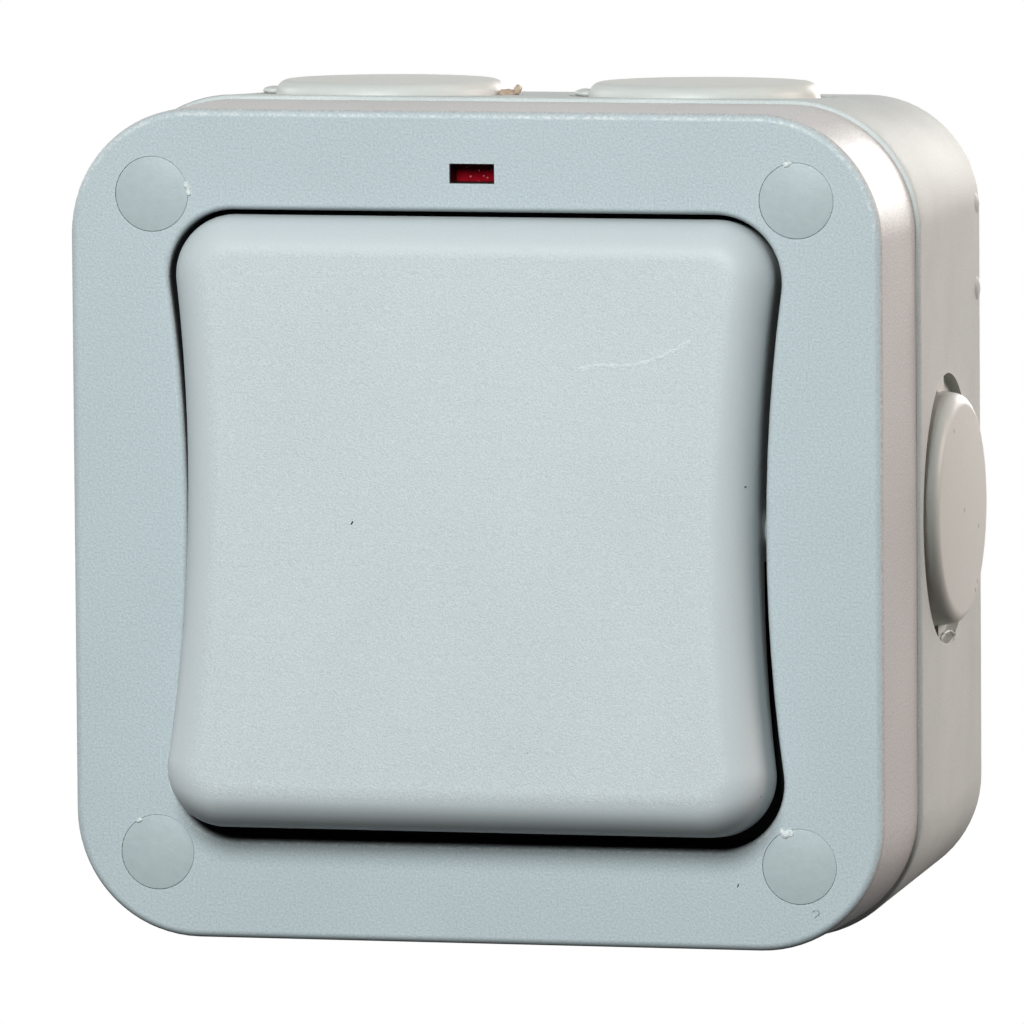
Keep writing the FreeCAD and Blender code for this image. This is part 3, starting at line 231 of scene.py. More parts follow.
def new_group(name, inputs):
    """An empty node group and its input sockets; an input is given as its number or as its kind of socket."""
    tree = bpy.data.node_groups.new(name, "GeometryNodeTree" if "Geometry" in inputs else "ShaderNodeTree")
    for label, value in inputs.items():
        if isinstance(value, str):
            tree.interface.new_socket(label, in_out="INPUT", socket_type=value)
        else:
            socket = tree.interface.new_socket(label, in_out="INPUT", socket_type="NodeSocketFloat")
            socket.default_value = value
    return tree, tree.nodes.new("NodeGroupInput").outputs


def put_out(tree, kind="NodeSocketFloat", **results):
    """Ends a group with its named results."""
    for label in results:
        tree.interface.new_socket(label, in_out="OUTPUT", socket_type=kind)
    leave = tree.nodes.new("NodeGroupOutput")
    for label, result in results.items():
        tree.links.new(result, leave.inputs[label])
    return tree


def shared_group(name):
    """A node group that is built at its first use."""
    return bpy.data.node_groups.get(name) or SHARED_GROUPS[name](name)


def math_node(operation, first, second=0.5, clamp=False):
    return add_node(first.id_data, "ShaderNodeMath", {0: first, 1: second}, operation=operation,
                    use_clamp=clamp).outputs[0]


def product(first, *others):
    for other in others:
        first = math_node("MULTIPLY", first, other)
    return first


def map_range(value, low, high, to_low=0.0, to_high=1.0):
    node = add_node(value.id_data, "ShaderNodeMapRange", {
        "Value": value, "From Min": low, "From Max": high, "To Min": to_low, "To Max": to_high})
    return node.outputs["Result"]


def mix_value(factor, first, second):
    return add_node(factor.id_data, "ShaderNodeMix", {"Factor": factor, "A": first, "B": second},
                    data_type="FLOAT").outputs["Result"]


def split_xyz(vector):
    return add_node(vector.id_data, "ShaderNodeSeparateXYZ", {"Vector": vector}).outputs


def join_xyz(tree, **parts):
    return add_node(tree, "ShaderNodeCombineXYZ", parts).outputs[0]


def coordinates(tree):
    return tree.nodes.new("ShaderNodeTexCoord").outputs


def noise(place, scale, detail=2.0, roughness=0.5):
    return add_node(place.id_data, "ShaderNodeTexNoise", {
        "Vector": place, "Scale": scale, "Detail": detail, "Roughness": roughness}).outputs


# Shared effects

NOISE_SPAN = (0.3, 0.7)
# Where an edge starts to count as rubbed and where it fully does, by the likeness of two normals
RUB_SPAN = (0.995, 0.86)
RUB_PATCHES = 420.0
RUB_PATCH_SPAN = (0.35, 0.65)
SCRATCH_STRETCH = (0.045, 0.045, 1.0)
SCRATCH_LIMITS = (0.74, 0.54)
# How far a face looks forward, from -1, or up, for each part of the mould
GRAIN_FACING = (-0.93, -0.99)
SIDE_FACING = (-0.8, -0.3)
BROW_START = (-0.997, -0.97)
BROW_END = (-0.70, -0.93)
BROW_UPWARD = (0.04, 0.12)
SHADED_UNDER_FACING = (-0.25, -0.85)
# Grain and spread of the painted sparkle on the brow
SPARKLE_SCALE = 2600.0
SPARKLE_SPAN = (0.42, 0.9)


def grain_group(name):
    """Fine spark-eroded grain of a mould, with a slow cloudiness under it."""
    tree, inputs = new_group(name, {"Scale": 2300.0, "Cloud Scale": 60.0, "Grain Share": 0.7})
    place = coordinates(tree)["Object"]
    fine = noise(place, inputs["Scale"], detail=3.0, roughness=0.65)
    cloud = noise(place, inputs["Cloud Scale"])
    height = map_range(fine["Fac"], *NOISE_SPAN)
    slow = map_range(cloud["Fac"], *NOISE_SPAN)
    return put_out(tree, Height=height, Tone=mix_value(inputs["Grain Share"], slow, height))


def speck_group(name):
    """Sparse dust and dirt specks."""
    tree, inputs = new_group(name, {"Scale": 500.0, "Size": 0.06, "Share": 0.12})
    cells = add_node(tree, "ShaderNodeTexVoronoi", {
        "Vector": coordinates(tree)["Object"], "Scale": inputs["Scale"]}).outputs
    chance = add_node(tree, "ShaderNodeSeparateColor", {"Color": cells["Color"]})
    near = math_node("LESS_THAN", cells["Distance"], inputs["Size"])
    chosen = math_node("LESS_THAN", chance.outputs["Red"], inputs["Share"])
    return put_out(tree, Mask=product(near, chosen))


def rub_group(name):
    """Edges that handling has polished, broken up by a slow noise."""
    tree, inputs = new_group(name, {"Width": 0.0004, "Amount": 0.5})
    softened = add_node(tree, "ShaderNodeBevel", {"Radius": inputs["Width"]}, samples=6).outputs["Normal"]
    own = tree.nodes.new("ShaderNodeNewGeometry").outputs["Normal"]
    likeness = add_node(tree, "ShaderNodeVectorMath", {0: softened, 1: own}, operation="DOT_PRODUCT")
    edge = map_range(likeness.outputs["Value"], *RUB_SPAN)
    patches = noise(coordinates(tree)["Object"], RUB_PATCHES, detail=3.0)
    broken = map_range(patches["Fac"], *RUB_PATCH_SPAN)
    return put_out(tree, Mask=product(edge, broken, inputs["Amount"]))


def scratch_group(name):
    """Short fine scratches that run one way."""
    tree, inputs = new_group(name, {"Turn": 0.8, "Scale": 700.0, "Share": 0.3})
    turned = add_node(tree, "ShaderNodeVectorRotate", {
        "Vector": coordinates(tree)["Object"], "Angle": inputs["Turn"]}, rotation_type="Y_AXIS")
    drawn = add_node(tree, "ShaderNodeMapping", {"Vector": turned.outputs[0], "Scale": SCRATCH_STRETCH})
    lines = noise(drawn.outputs[0], inputs["Scale"], roughness=0.6)
    limit = map_range(inputs["Share"], 0.0, 1.0, *SCRATCH_LIMITS)
    return put_out(tree, Mask=math_node("GREATER_THAN", lines["Fac"], limit))


def facing_group(name):
    """The parts of a mould: grained front, sides, a brow on upper edges with a painted sparkling highlight,
    and what faces down, which gets painted shade.
    """
    tree, inputs = new_group(name, {"Rest": 0.3})
    spot = coordinates(tree)
    way = split_xyz(spot["Normal"])
    grained = map_range(way["Y"], *GRAIN_FACING, inputs["Rest"], 1.0)
    side = map_range(way["Y"], *SIDE_FACING)
    turning = map_range(way["Y"], *BROW_START)
    flat_end = map_range(way["Y"], *BROW_END)
    upward = map_range(way["Z"], *BROW_UPWARD)
    sparkle = noise(spot["Object"], SPARKLE_SCALE, roughness=0.6)
    lit = map_range(sparkle["Fac"], *SPARKLE_SPAN)
    # What faces down, which gets painted shade
    under = map_range(way["Z"], *SHADED_UNDER_FACING)
    return put_out(tree, Grained=grained, Side=side, Under=under,
                   Brow=product(turning, flat_end, upward, lit))


def opening_group(name):
    """The walls of the opening round the rocker, which take painted shade."""
    tree, inputs = new_group(name, {"Front": -0.05, "Depth": 0.001, "Reach": 0.03})
    place = split_xyz(coordinates(tree)["Object"])
    behind = math_node("SUBTRACT", place["Y"], inputs["Front"])
    deep = math_node("DIVIDE", behind, inputs["Depth"], clamp=True)
    away = math_node("MAXIMUM", math_node("ABSOLUTE", place["X"]),
                     math_node("ABSOLUTE", place["Z"]))
    inside = math_node("LESS_THAN", away, inputs["Reach"])
    return put_out(tree, Mask=product(deep, inside))


def effect(tree, name, **values):
    """A shared effect placed in a material with its own values."""
    node = tree.nodes.new("ShaderNodeGroup")
    node.node_tree = shared_group(name)
    for label, value in values.items():
        node.inputs[label.replace("_", " ").title()].default_value = value
    return node.outputs


# Materials

# Tones are shares of a material's own colour
PLAIN_TONE = 0.45
RUBBED_TONE = 1.22
SPECK_TONE = 0.45
# Painted shade on what faces down
PAINTED_UNDER_SHADE_TONE = 0.52
SIDE_SPECKLE = 2.4
SIDE_ROUGHNESS = 0.78
# Painted highlight along the brow of the upper edges
BROW_HIGHLIGHT_COLOUR = linear(255, 249, 244)
# The painted shade in the opening: where it starts behind the front, over what depth, how far out, and its
# tone
SHADE_START = 0.0003
SHADE_DEPTH = 0.0012
SHADE_REACH = 0.0355
SHADE_TONE = 0.08
# Painted shadow on the lower front of the plugs: how far they look forward, from what height down, and its
# tone
PLUG_SHADOW_FACING = (-0.15, -0.8)
PLUG_SHADOW_HEIGHT = (0.012, -0.012)
PLUG_SHADOW_TONE = (0.30, 0.27, 0.25)


def tinted(colour, share):
    """The colour made lighter or darker by a share."""
    return tuple(min(1.0, part * share) for part in colour[:3]) + (1.0,)


def mix_colour(factor, first, second):
    tree = factor.id_data
    node = add_node(tree, "ShaderNodeMix", {"Factor": factor}, data_type="RGBA")
    for socket, colour in zip(("A", "B"), (first, second)):
        place = next(entry for entry in node.inputs if entry.name == socket and entry.type == "RGBA")
        if isinstance(colour, NodeSocket):
            tree.links.new(colour, place)
        else:
            place.default_value = colour
    return next(leave for leave in node.outputs if leave.type == "RGBA")


def toned(tone, colour, dark, light):
    """The colour between two shares of itself, as the tone says."""
    return mix_colour(tone, tinted(colour, dark), tinted(colour, light))


def new_material(name, **shader_values):
    """A material with a Principled BSDF whose plain values are set; returns it, its tree and its shader."""
    material = bpy.data.materials.new(name)
    material.use_nodes = True
    tree = material.node_tree
    shader = next(node for node in tree.nodes if node.type == "BSDF_PRINCIPLED")
    for label, value in shader_values.items():
        shader.inputs[label.replace("_", " ").title().replace("Ior", "IOR")].default_value = value
    return material, tree, shader


def set_surface(tree, shader, colour, roughness, height=None, bump=0.0):
    """Joins a material's colour, roughness and bump to its shader."""
    tree.links.new(colour, shader.inputs["Base Color"])
    tree.links.new(roughness, shader.inputs["Roughness"])
    if height is not None:
        raised = add_node(tree, "ShaderNodeBump", {"Height": height, "Distance": bump})
        tree.links.new(raised.outputs["Normal"], shader.inputs["Normal"])


def moulded_plastic(name, colour, contrast, bump, roughness, grain_scale=None, dirt=0.0, rub=0.5, rest=None,
                    side=None, gloss=0.5, cloud=0.12):
    """Grained plastic: the colour varies with the grain, dirt lies on it and its edges are rubbed.

    With rest, only the flat front has the full grain, the rounds and sides have that share of it, and what
    faces down gets painted shade. With side, the sides take that colour, which on the cover is a warmer copy
    as painted warm light, the upper edges get a painted sparkling highlight and the walls of the opening get
    painted shade.
    """
    finish = settings().finish
    material, tree, shader = new_material(name, ior=1.46, specular_ior_level=gloss)
    grain = effect(tree, "mould_grain", scale=grain_scale or finish.grain_size, grain_share=1.0 - cloud)
    tone, height = grain["Tone"], grain["Height"]
    if rest is not None:
        facing = effect(tree, "mould_facing", rest=rest)
        tone = map_range(facing["Grained"], 0.0, 1.0, PLAIN_TONE, tone)
        height = product(height, facing["Grained"])
    body = toned(tone, colour, 1.0 - contrast, 1.0 + contrast)
    if side is not None:
        speckle = contrast * SIDE_SPECKLE
        plain = toned(tone, side, 1.0 - speckle, 1.0 + speckle)
        body = mix_colour(facing["Side"], body, plain)
    rubbed = effect(tree, "rubbed_edges", width=finish.rub_width, amount=rub)["Mask"]
    worn = mix_colour(rubbed, body, tinted(colour, RUBBED_TONE))
    # What faces down is darkened: painted shade
    if rest is not None:
        worn = mix_colour(facing["Under"], worn, tinted(colour, PAINTED_UNDER_SHADE_TONE))
    if side is not None:
        # The brow of the upper edges gets a painted sparkling highlight
        worn = mix_colour(facing["Brow"], worn, BROW_HIGHLIGHT_COLOUR)
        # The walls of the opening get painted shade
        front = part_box("front_cover")[0].y
        opening = effect(tree, "dark_opening", front=front + SHADE_START, depth=SHADE_DEPTH,
                         reach=SHADE_REACH)["Mask"]
        worn = mix_colour(opening, worn, tinted(colour, SHADE_TONE))
    specks = effect(tree, "dust_specks", share=dirt)["Mask"]
    seen = mix_colour(specks, worn, tinted(colour, SPECK_TONE))
    rough = map_range(tone, 0.0, 1.0, roughness - 0.06, roughness + 0.08)
    if side is not None:
        polished = map_range(facing["Side"], 0.0, 1.0, 1.0, SIDE_ROUGHNESS)
        rough = product(rough, polished)
    set_surface(tree, shader, seen, rough, height, bump)
    return material


def metal(name, colour, roughness):
    """Turned or stamped metal with fine streaks and a little tarnish."""
    material, tree, shader = new_material(name, metallic=1.0)
    streaks = effect(tree, "fine_scratches", turn=0.0, scale=1500.0, share=0.5)["Mask"]
    tarnish = effect(tree, "mould_grain", scale=900.0, cloud_scale=120.0, grain_share=0.3)["Tone"]
    body = toned(tarnish, colour, dark=0.8, light=1.08)
    seen = mix_colour(streaks, body, tinted(colour, 1.15))
    rough = map_range(tarnish, 0.0, 1.0, roughness - 0.08, roughness + 0.12)
    set_surface(tree, shader, seen, rough, streaks, bump=0.00001)
    return material


def plug_shadow_mask(tree):
    """A mask of painted shadow that grows towards the front and downwards."""
    spot = coordinates(tree)
    forward = map_range(split_xyz(spot["Normal"])["Y"], *PLUG_SHADOW_FACING)
    lower = map_range(split_xyz(spot["Object"])["Z"], *PLUG_SHADOW_HEIGHT)
    return product(forward, lower)


def rubber(name, colour, roughness, painted_shadow=False):
    """Moulded rubber: smoother than the plastic, with a soft bloom, dust and perhaps painted shadow low in
    front.
    """
    material, tree, shader = new_material(name, ior=1.5)
    bloom = effect(tree, "mould_grain", scale=1300.0, cloud_scale=110.0, grain_share=0.35)
    body = toned(bloom["Tone"], colour, dark=0.96, light=1.04)
    dust = effect(tree, "dust_specks", scale=420.0, size=0.12, share=0.05)["Mask"]
    seen = mix_colour(dust, body, tinted(colour, 0.6))
    # Painted shadow on the lower front of a plug
    if painted_shadow:
        shadowed_colour = tuple(part * share for part, share in zip(colour, PLUG_SHADOW_TONE)) + (1.0,)
        seen = mix_colour(plug_shadow_mask(tree), seen, shadowed_colour)
    rough = map_range(bloom["Tone"], 0.0, 1.0, roughness - 0.05, roughness + 0.1)
    set_surface(tree, shader, seen, rough, bloom["Height"], bump=0.000012)
    return material


def lens_red():
    """Red moulded lens with dust on it."""
    material, tree, shader = new_material("lens_red", ior=1.49, specular_ior_level=0.03)
    flow = effect(tree, "mould_grain", scale=900.0, cloud_scale=520.0, grain_share=0.25)
    body = toned(flow["Tone"], settings().finish.lens_colour, dark=0.72, light=1.35)
    dust = effect(tree, "dust_specks", scale=2000.0, size=0.22, share=0.35)["Mask"]
    seen = mix_colour(dust, body, linear(196, 120, 122))
    rough = map_range(flow["Tone"], 0.0, 1.0, 0.2, 0.42)
    set_surface(tree, shader, seen, rough, flow["Height"], bump=0.00001)
    return material


def lamp_glass():
    """Clear glass of the neon lamp, a little smoked."""
    material, tree, shader = new_material("lamp_glass", ior=1.5, transmission_weight=0.85)
    smoke = effect(tree, "mould_grain", scale=700.0, cloud_scale=260.0, grain_share=0.2)["Tone"]
    seen = mix_colour(smoke, linear(226, 214, 206), linear(246, 240, 236))
    set_surface(tree, shader, seen, map_range(smoke, 0.0, 1.0, 0.03, 0.1))
    return material


# Meshes

MERGE_DISTANCE = 1e-6
CORNER_STEPS = 6
FLAT_WEIGHT = 90


def set_material(mesh, material):
    mesh.materials.clear()
    mesh.materials.append(material)


def link_object(name, data):
    entry = bpy.data.objects.new(name, data)
    bpy.context.scene.collection.objects.link(entry)
    return entry


def link_piece(name, mesh, material):
    set_material(mesh, material)
    return link_object(name, mesh)


def finish_piece(piece, nodes=(), body=ENCLOSURE):
    """Puts a piece on the body that carries it and hides the CAD nodes that it stands for."""
    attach(piece, body)
    if nodes:
        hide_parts(*nodes)


def dress_nodes(material, *nodes):
    """Gives carried-over CAD nodes a finish."""
    for node in nodes:
        set_material(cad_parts[node].data, material)


def shade_by_angle(work):
    """Smooth shading with a hard line wherever two faces meet at a clear angle."""
    limit = settings().finish.smooth_angle
    for face in work.faces:
        face.smooth = True
        face.material_index = 0
    for edge in work.edges:
        edge.smooth = len(edge.link_faces) == 2 and edge.calc_face_angle() < limit


def close_work(work, mesh):
    """Writes a worked mesh back and lets the work go."""
    work.to_mesh(mesh)
    work.free()
    return mesh


def rounded_corners(half_width, half_height, radius):
    """Points round a rectangle with rounded corners."""
    points = []
    for quarter, (way_x, way_z) in enumerate(((1, 1), (-1, 1), (-1, -1), (1, -1))):
        for step in range(CORNER_STEPS + 1):
            turn = math.pi / 2 * (quarter + step / CORNER_STEPS)
            points.append((way_x * (half_width - radius) + radius * math.cos(turn),
                           way_z * (half_height - radius) + radius * math.sin(turn)))
    return points


def dress_moulding(name, node, material, body=ENCLOSURE):
    """A merged copy of a CAD node's mesh, in its place, its flats kept flat beside the rounds."""
    work = bmesh.new()
    work.from_mesh(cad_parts[node].data)
    bmesh.ops.remove_doubles(work, verts=work.verts, dist=MERGE_DISTANCE)
    shade_by_angle(work)
    mesh = close_work(work, bpy.data.meshes.new(name))
    stored_normals = mesh.attributes.get("custom_normal")
    if stored_normals:
        mesh.attributes.remove(stored_normals)
    piece = link_piece(name, mesh, material)
    modifier = piece.modifiers.new("weighted_normals", "WEIGHTED_NORMAL")
    modifier.mode = "FACE_AREA"
    modifier.weight = FLAT_WEIGHT
    modifier.keep_sharp = True
    finish_piece(piece, [node], body)


# Repeated pieces

TURNED_INPUTS = {
    "Geometry": "NodeSocketGeometry", "Foot Radius": 0.01, "Top Radius": 0.01, "Height": 0.003,
    "Edge Round": 0.001, "Neck Radius": 0.008, "Neck Depth": 0.002, "Bar Length": 0.024, "Bar Width": 0.003,
    "Bar Height": 0.002, "Material": "NodeSocketMaterial",
}
RAGGED_INPUTS = {"Geometry": "NodeSocketGeometry", "Ragged": 0.3, "Material": "NodeSocketMaterial"}
TOP_CORNER = 1
LATHE_STEPS = 96
ROUND_STEPS = 7
PIN_RADIUS = 1e-5
PIN_MERGE = 4e-5
LUMP_RADIUS = 0.5
LUMP_STEPS = 3
RAGGED_SCALE = 2200.0
RAGGED_REACH = 0.002
NOISE_MIDDLE = (0.5, 0.5, 0.5)


def geometry(tree, kind, values=None, **options):
    """The first output of a new geometry node."""
    return add_node(tree, "GeometryNode" + kind, values, **options).outputs[0]


def stored_vector(tree, label):
    """A vector that each point of the input carries."""
    return geometry(tree, "InputNamedAttribute", {"Name": label}, data_type="FLOAT_VECTOR")


def real_instances(tree, points, shape, **sizes):
    """The shape on every point, turned as the point says, as plain geometry."""
    turned = add_node(tree, "FunctionNodeEulerToRotation", {0: stored_vector(tree, "turn")})
    placed = geometry(tree, "InstanceOnPoints", {
        "Points": points, "Instance": shape, "Rotation": turned.outputs[0], **sizes})
    return geometry(tree, "RealizeInstances", {"Geometry": placed})


def put_out_dressed(tree, shape, material):
    dressed = geometry(tree, "SetMaterial", {"Geometry": shape, "Material": material})
    tree.is_modifier = True
    return put_out(tree, "NodeSocketGeometry", Geometry=dressed)


def turned_profile(tree, inputs):
    """Half the outline of a disc on a neck, from the middle of its top to the middle of its end."""
    top = product(inputs["Height"], -1.0)
    neck, end = inputs["Neck Radius"], inputs["Neck Depth"]
    corners = [(0.0, top), (inputs["Top Radius"], top), (inputs["Foot Radius"], 0.0),
               (neck, 0.0), (neck, end), (0.0, end)]
    chooser = add_node(tree, "GeometryNodeIndexSwitch", data_type="VECTOR")
    while len(chooser.index_switch_items) < len(corners):
        chooser.index_switch_items.new()
    index = geometry(tree, "InputIndex")
    tree.links.new(index, chooser.inputs["Index"])
    for number, (across, along) in enumerate(corners):
        tree.links.new(join_xyz(tree, X=across, Y=along), chooser.inputs[number + 1])
    line = geometry(tree, "MeshLine", {"Count": len(corners)})
    shaped = geometry(tree, "SetPosition", {"Geometry": line, "Position": chooser.outputs[0]})
    profile = geometry(tree, "MeshToCurve", {"Mesh": shaped})
    at_top = add_node(tree, "FunctionNodeCompare", {2: index, 3: TOP_CORNER}, data_type="INT",
                      operation="EQUAL")
    corner_round = product(at_top.outputs[0], inputs["Edge Round"])
    return geometry(tree, "FilletCurve", {"Curve": profile, "Radius": corner_round, "Count": ROUND_STEPS},
                    mode="POLY")


def turned_tree(name):
    """Geometry Nodes: a turned disc with a bar across it on every point, turned as the point says."""
    tree, inputs = new_group(name, TURNED_INPUTS)
    path = geometry(tree, "CurvePrimitiveCircle", {"Resolution": LATHE_STEPS, "Radius": PIN_RADIUS})
    upright = geometry(tree, "SetCurveNormal", {"Curve": path}, mode="Z_UP")
    disc = geometry(tree, "CurveToMesh", {"Curve": upright, "Profile Curve": turned_profile(tree, inputs)})
    merged = geometry(tree, "MergeByDistance", {"Geometry": disc, "Distance": PIN_MERGE})
    bar_size = join_xyz(tree, X=inputs["Bar Length"], Y=inputs["Bar Width"], Z=inputs["Bar Height"])
    bar_spot = join_xyz(tree, Z=product(inputs["Bar Height"], 0.5))
    bar = geometry(tree, "MeshCube", {"Size": bar_size})
    set_bar = geometry(tree, "Transform", {"Geometry": bar, "Translation": bar_spot})
    whole = add_node(tree, "GeometryNodeMeshBoolean", operation="UNION", solver="EXACT")
    for joined in (set_bar, merged):
        tree.links.new(joined, whole.inputs["Mesh 2"])
    real = real_instances(tree, inputs["Geometry"], whole.outputs[0])
    return put_out_dressed(tree, real, inputs["Material"])


def ragged_tree(name):
    """Geometry Nodes: a small ragged lump on every point, turned and sized as the point says."""
    tree, inputs = new_group(name, RAGGED_INPUTS)
    lump = geometry(tree, "MeshIcoSphere", {"Radius": LUMP_RADIUS, "Subdivisions": LUMP_STEPS})
    real = real_instances(tree, inputs["Geometry"], lump, Scale=stored_vector(tree, "size"))
    spot = geometry(tree, "InputPosition")
    push = add_node(tree, "ShaderNodeVectorMath", {0: noise(spot, RAGGED_SCALE)["Color"], 1: NOISE_MIDDLE},
                    operation="SUBTRACT")
    reach = product(inputs["Ragged"], RAGGED_REACH)
    moved = add_node(tree, "ShaderNodeVectorMath", {0: push.outputs[0], "Scale": reach}, operation="SCALE")
    torn = geometry(tree, "SetPosition", {"Geometry": real, "Offset": moved.outputs[0]})
    return put_out_dressed(tree, torn, inputs["Material"])


SHARED_GROUPS = {
    "mould_grain": grain_group, "dust_specks": speck_group, "rubbed_edges": rub_group,
    "fine_scratches": scratch_group, "mould_facing": facing_group, "dark_opening": opening_group,
    "turned_disc": turned_tree, "ragged_lumps": ragged_tree,
}


def grow_on_points(name, group, seats, values, material):
    """Runs a tree on seats, each a point, its turn and perhaps its size, and returns a plain mesh's piece."""
    tree = shared_group(group)
    points = bpy.data.meshes.new(name + "_seats")
    points.from_pydata([seat[0] for seat in seats], [], [])
    for label, values_of_seats in zip(("turn", "size"), list(zip(*seats))[1:]):
        stored = points.attributes.new(label, "FLOAT_VECTOR", "POINT")
        for entry, value in zip(stored.data, values_of_seats):
            entry.vector = value
    seat_object = link_object(name + "_seats", points)
    modifier = seat_object.modifiers.new(group, "NODES")
    modifier.node_group = tree
    sockets = {item.name: item.identifier for item in tree.interface.items_tree if item.in_out == "INPUT"}
    for label, value in {**values, "Material": material}.items():
        modifier[sockets[label]] = value
    graph = bpy.context.evaluated_depsgraph_get()
    mesh = bpy.data.meshes.new_from_object(seat_object.evaluated_get(graph))
    seat_object.modifiers.remove(modifier)
    bpy.data.objects.remove(seat_object)
    bpy.data.meshes.remove(points)
    if not mesh.polygons:
        raise RuntimeError(f"{name} came out empty")
    mesh.name = name
    work = bmesh.new()
    work.from_mesh(mesh)
    bmesh.ops.remove_doubles(work, verts=work.verts, dist=MERGE_DISTANCE)
    bmesh.ops.recalc_face_normals(work, faces=work.faces)
    shade_by_angle(work)
    return link_piece(name, close_work(work, mesh), material)


def grow_lumps(name, seats, ragged, material, body=ENCLOSURE):
    """Ragged lumps on their seats, as one piece on a body."""
    piece = grow_on_points(name, "ragged_lumps", seats, {"Ragged": ragged}, material)
    finish_piece(piece, body=body)


# Operators

class PieceOperator:
    """What the operators share."""

    bl_options = {"REGISTER", "UNDO"}

    def execute(self, context):
        self.make()
        return {"FINISHED"}


class SWITCH_OT_mouldings(PieceOperator, Operator):
    """Dresses the moulded back box, the cover and the wide rocker"""

    bl_idname = "switch.mouldings"
    bl_label = "Mouldings"

    def make(self):
        finish = settings().finish
        # Rest 1.0 keeps the box's grain whole and gives it the painted shade on what faces down
        box = moulded_plastic("box_satin", finish.box_colour, contrast=0.16, bump=0.000016, roughness=0.55,
                              dirt=0.03, rub=0.9, rest=1.0, gloss=0.25, cloud=0.5)
        dress_moulding("box_moulding", "back_box", box)
        cover = moulded_plastic("cover_grained", finish.cover_colour, contrast=0.16, bump=0.00002,
                                roughness=0.5, rest=0.8, side=finish.cover_side_warm_lit_colour)
        dress_moulding("cover_moulding", "front_cover", cover)
        rocker = moulded_plastic("rocker_grained", finish.rocker_colour, contrast=0.15, bump=0.000024,
                                 roughness=0.46, grain_scale=5200.0, rest=0.25)
        dress_moulding("rocker_paddle", "rocker", rocker, ROCKER)


class SWITCH_OT_plugs(PieceOperator, Operator):
    """Makes the six blanking plugs"""

    bl_idname = "switch.plugs"
    bl_label = "Blanking plugs"

    # Each plug's node: the axis that it looks along, which way, and its turn
    SIDES = {
        "blanking_plug_top_left": (2, 1, UNTURNED),
        "blanking_plug_top_right": (2, 1, UNTURNED),
        "blanking_plug_bottom_left": (2, -1, UPSIDE_DOWN),
        "blanking_plug_bottom_right": (2, -1, UPSIDE_DOWN),
        "blanking_plug_left": (0, -1, (0.0, -math.pi / 2, 0.0)),
        "blanking_plug_right": (0, 1, (0.0, math.pi / 2, 0.0)),
    }
    # A lifted ear lies this share of its length in from the plug's end, and this share of its height up
    EAR_INSET = 0.4
    EAR_LIFT = 2.0
    EAR_RAGGED = 0.1

    def make(self):
        plug = settings().plug
        material = rubber("plug_grey", settings().finish.plug_colour, roughness=0.42, painted_shadow=True)
        seats = []
        lifted = []
        for node, (axis, way, turn) in self.SIDES.items():
            low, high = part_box(node)
            seat = (low + high) / 2
            outer = high[axis] if way > 0 else low[axis]
            seat[axis] = outer - plug.height * way
            if axis == 2 and way > 0:
                turn = (-plug.lean, 0.0, 0.0)
                seat[axis] -= plug.top * math.sin(plug.lean)
                size = Vector(plug.lifted_ear)
                ear = Vector((low.x + size.x * self.EAR_INSET, seat.y, seat.z + size.z * self.EAR_LIFT))
                lifted.append((ear, UNTURNED, size))
            seats.append((seat, turn))
        piece = grow_on_points("blanking_plugs", "turned_disc", seats, {
            "Foot Radius": plug.foot, "Top Radius": plug.top, "Height": plug.height,
            "Edge Round": plug.edge_round, "Neck Radius": plug.neck, "Neck Depth": plug.neck_depth,
            "Bar Length": plug.ear_reach * 2, "Bar Width": plug.ear_width,
            "Bar Height": plug.ear_height}, material)
        finish_piece(piece, self.SIDES)
        grow_lumps("lifted_ears", lifted, self.EAR_RAGGED, material)


class SWITCH_OT_caps(PieceOperator, Operator):
    """Makes the four screw caps"""

    bl_idname = "switch.caps"
    bl_label = "Screw caps"

    NODES = ("screw_cap_top_left", "screw_cap_top_right", "screw_cap_bottom_left", "screw_cap_bottom_right")
    FACING_FRONT = (math.pi / 2, 0.0, 0.0)
    # A cap's bar and neck stay inside its disc, at these shares of its radius and height
    NECK_SHARE = 0.5
    BAR_SHARE = 0.3
    BAR_DEPTH = 0.5

    def make(self):
        cap = settings().cap
        material = moulded_plastic("cap_smooth", settings().finish.cap_colour, contrast=0.03, bump=0.000015,
                                   roughness=0.42, grain_scale=1200.0, dirt=0.05)
        seats = []
        for node in self.NODES:
            low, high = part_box(node)
            seat = (low + high) / 2
            seat.y = high.y
            seats.append((seat, self.FACING_FRONT))
        piece = grow_on_points("screw_caps", "turned_disc", seats, {
            "Foot Radius": cap.radius, "Top Radius": cap.radius, "Height": cap.height,
            "Edge Round": cap.edge_round, "Neck Radius": cap.radius * self.NECK_SHARE,
            "Neck Depth": cap.edge_round, "Bar Length": cap.radius, "Bar Width": cap.radius * self.BAR_SHARE,
            "Bar Height": cap.height * self.BAR_DEPTH}, material)
        finish_piece(piece, self.NODES)


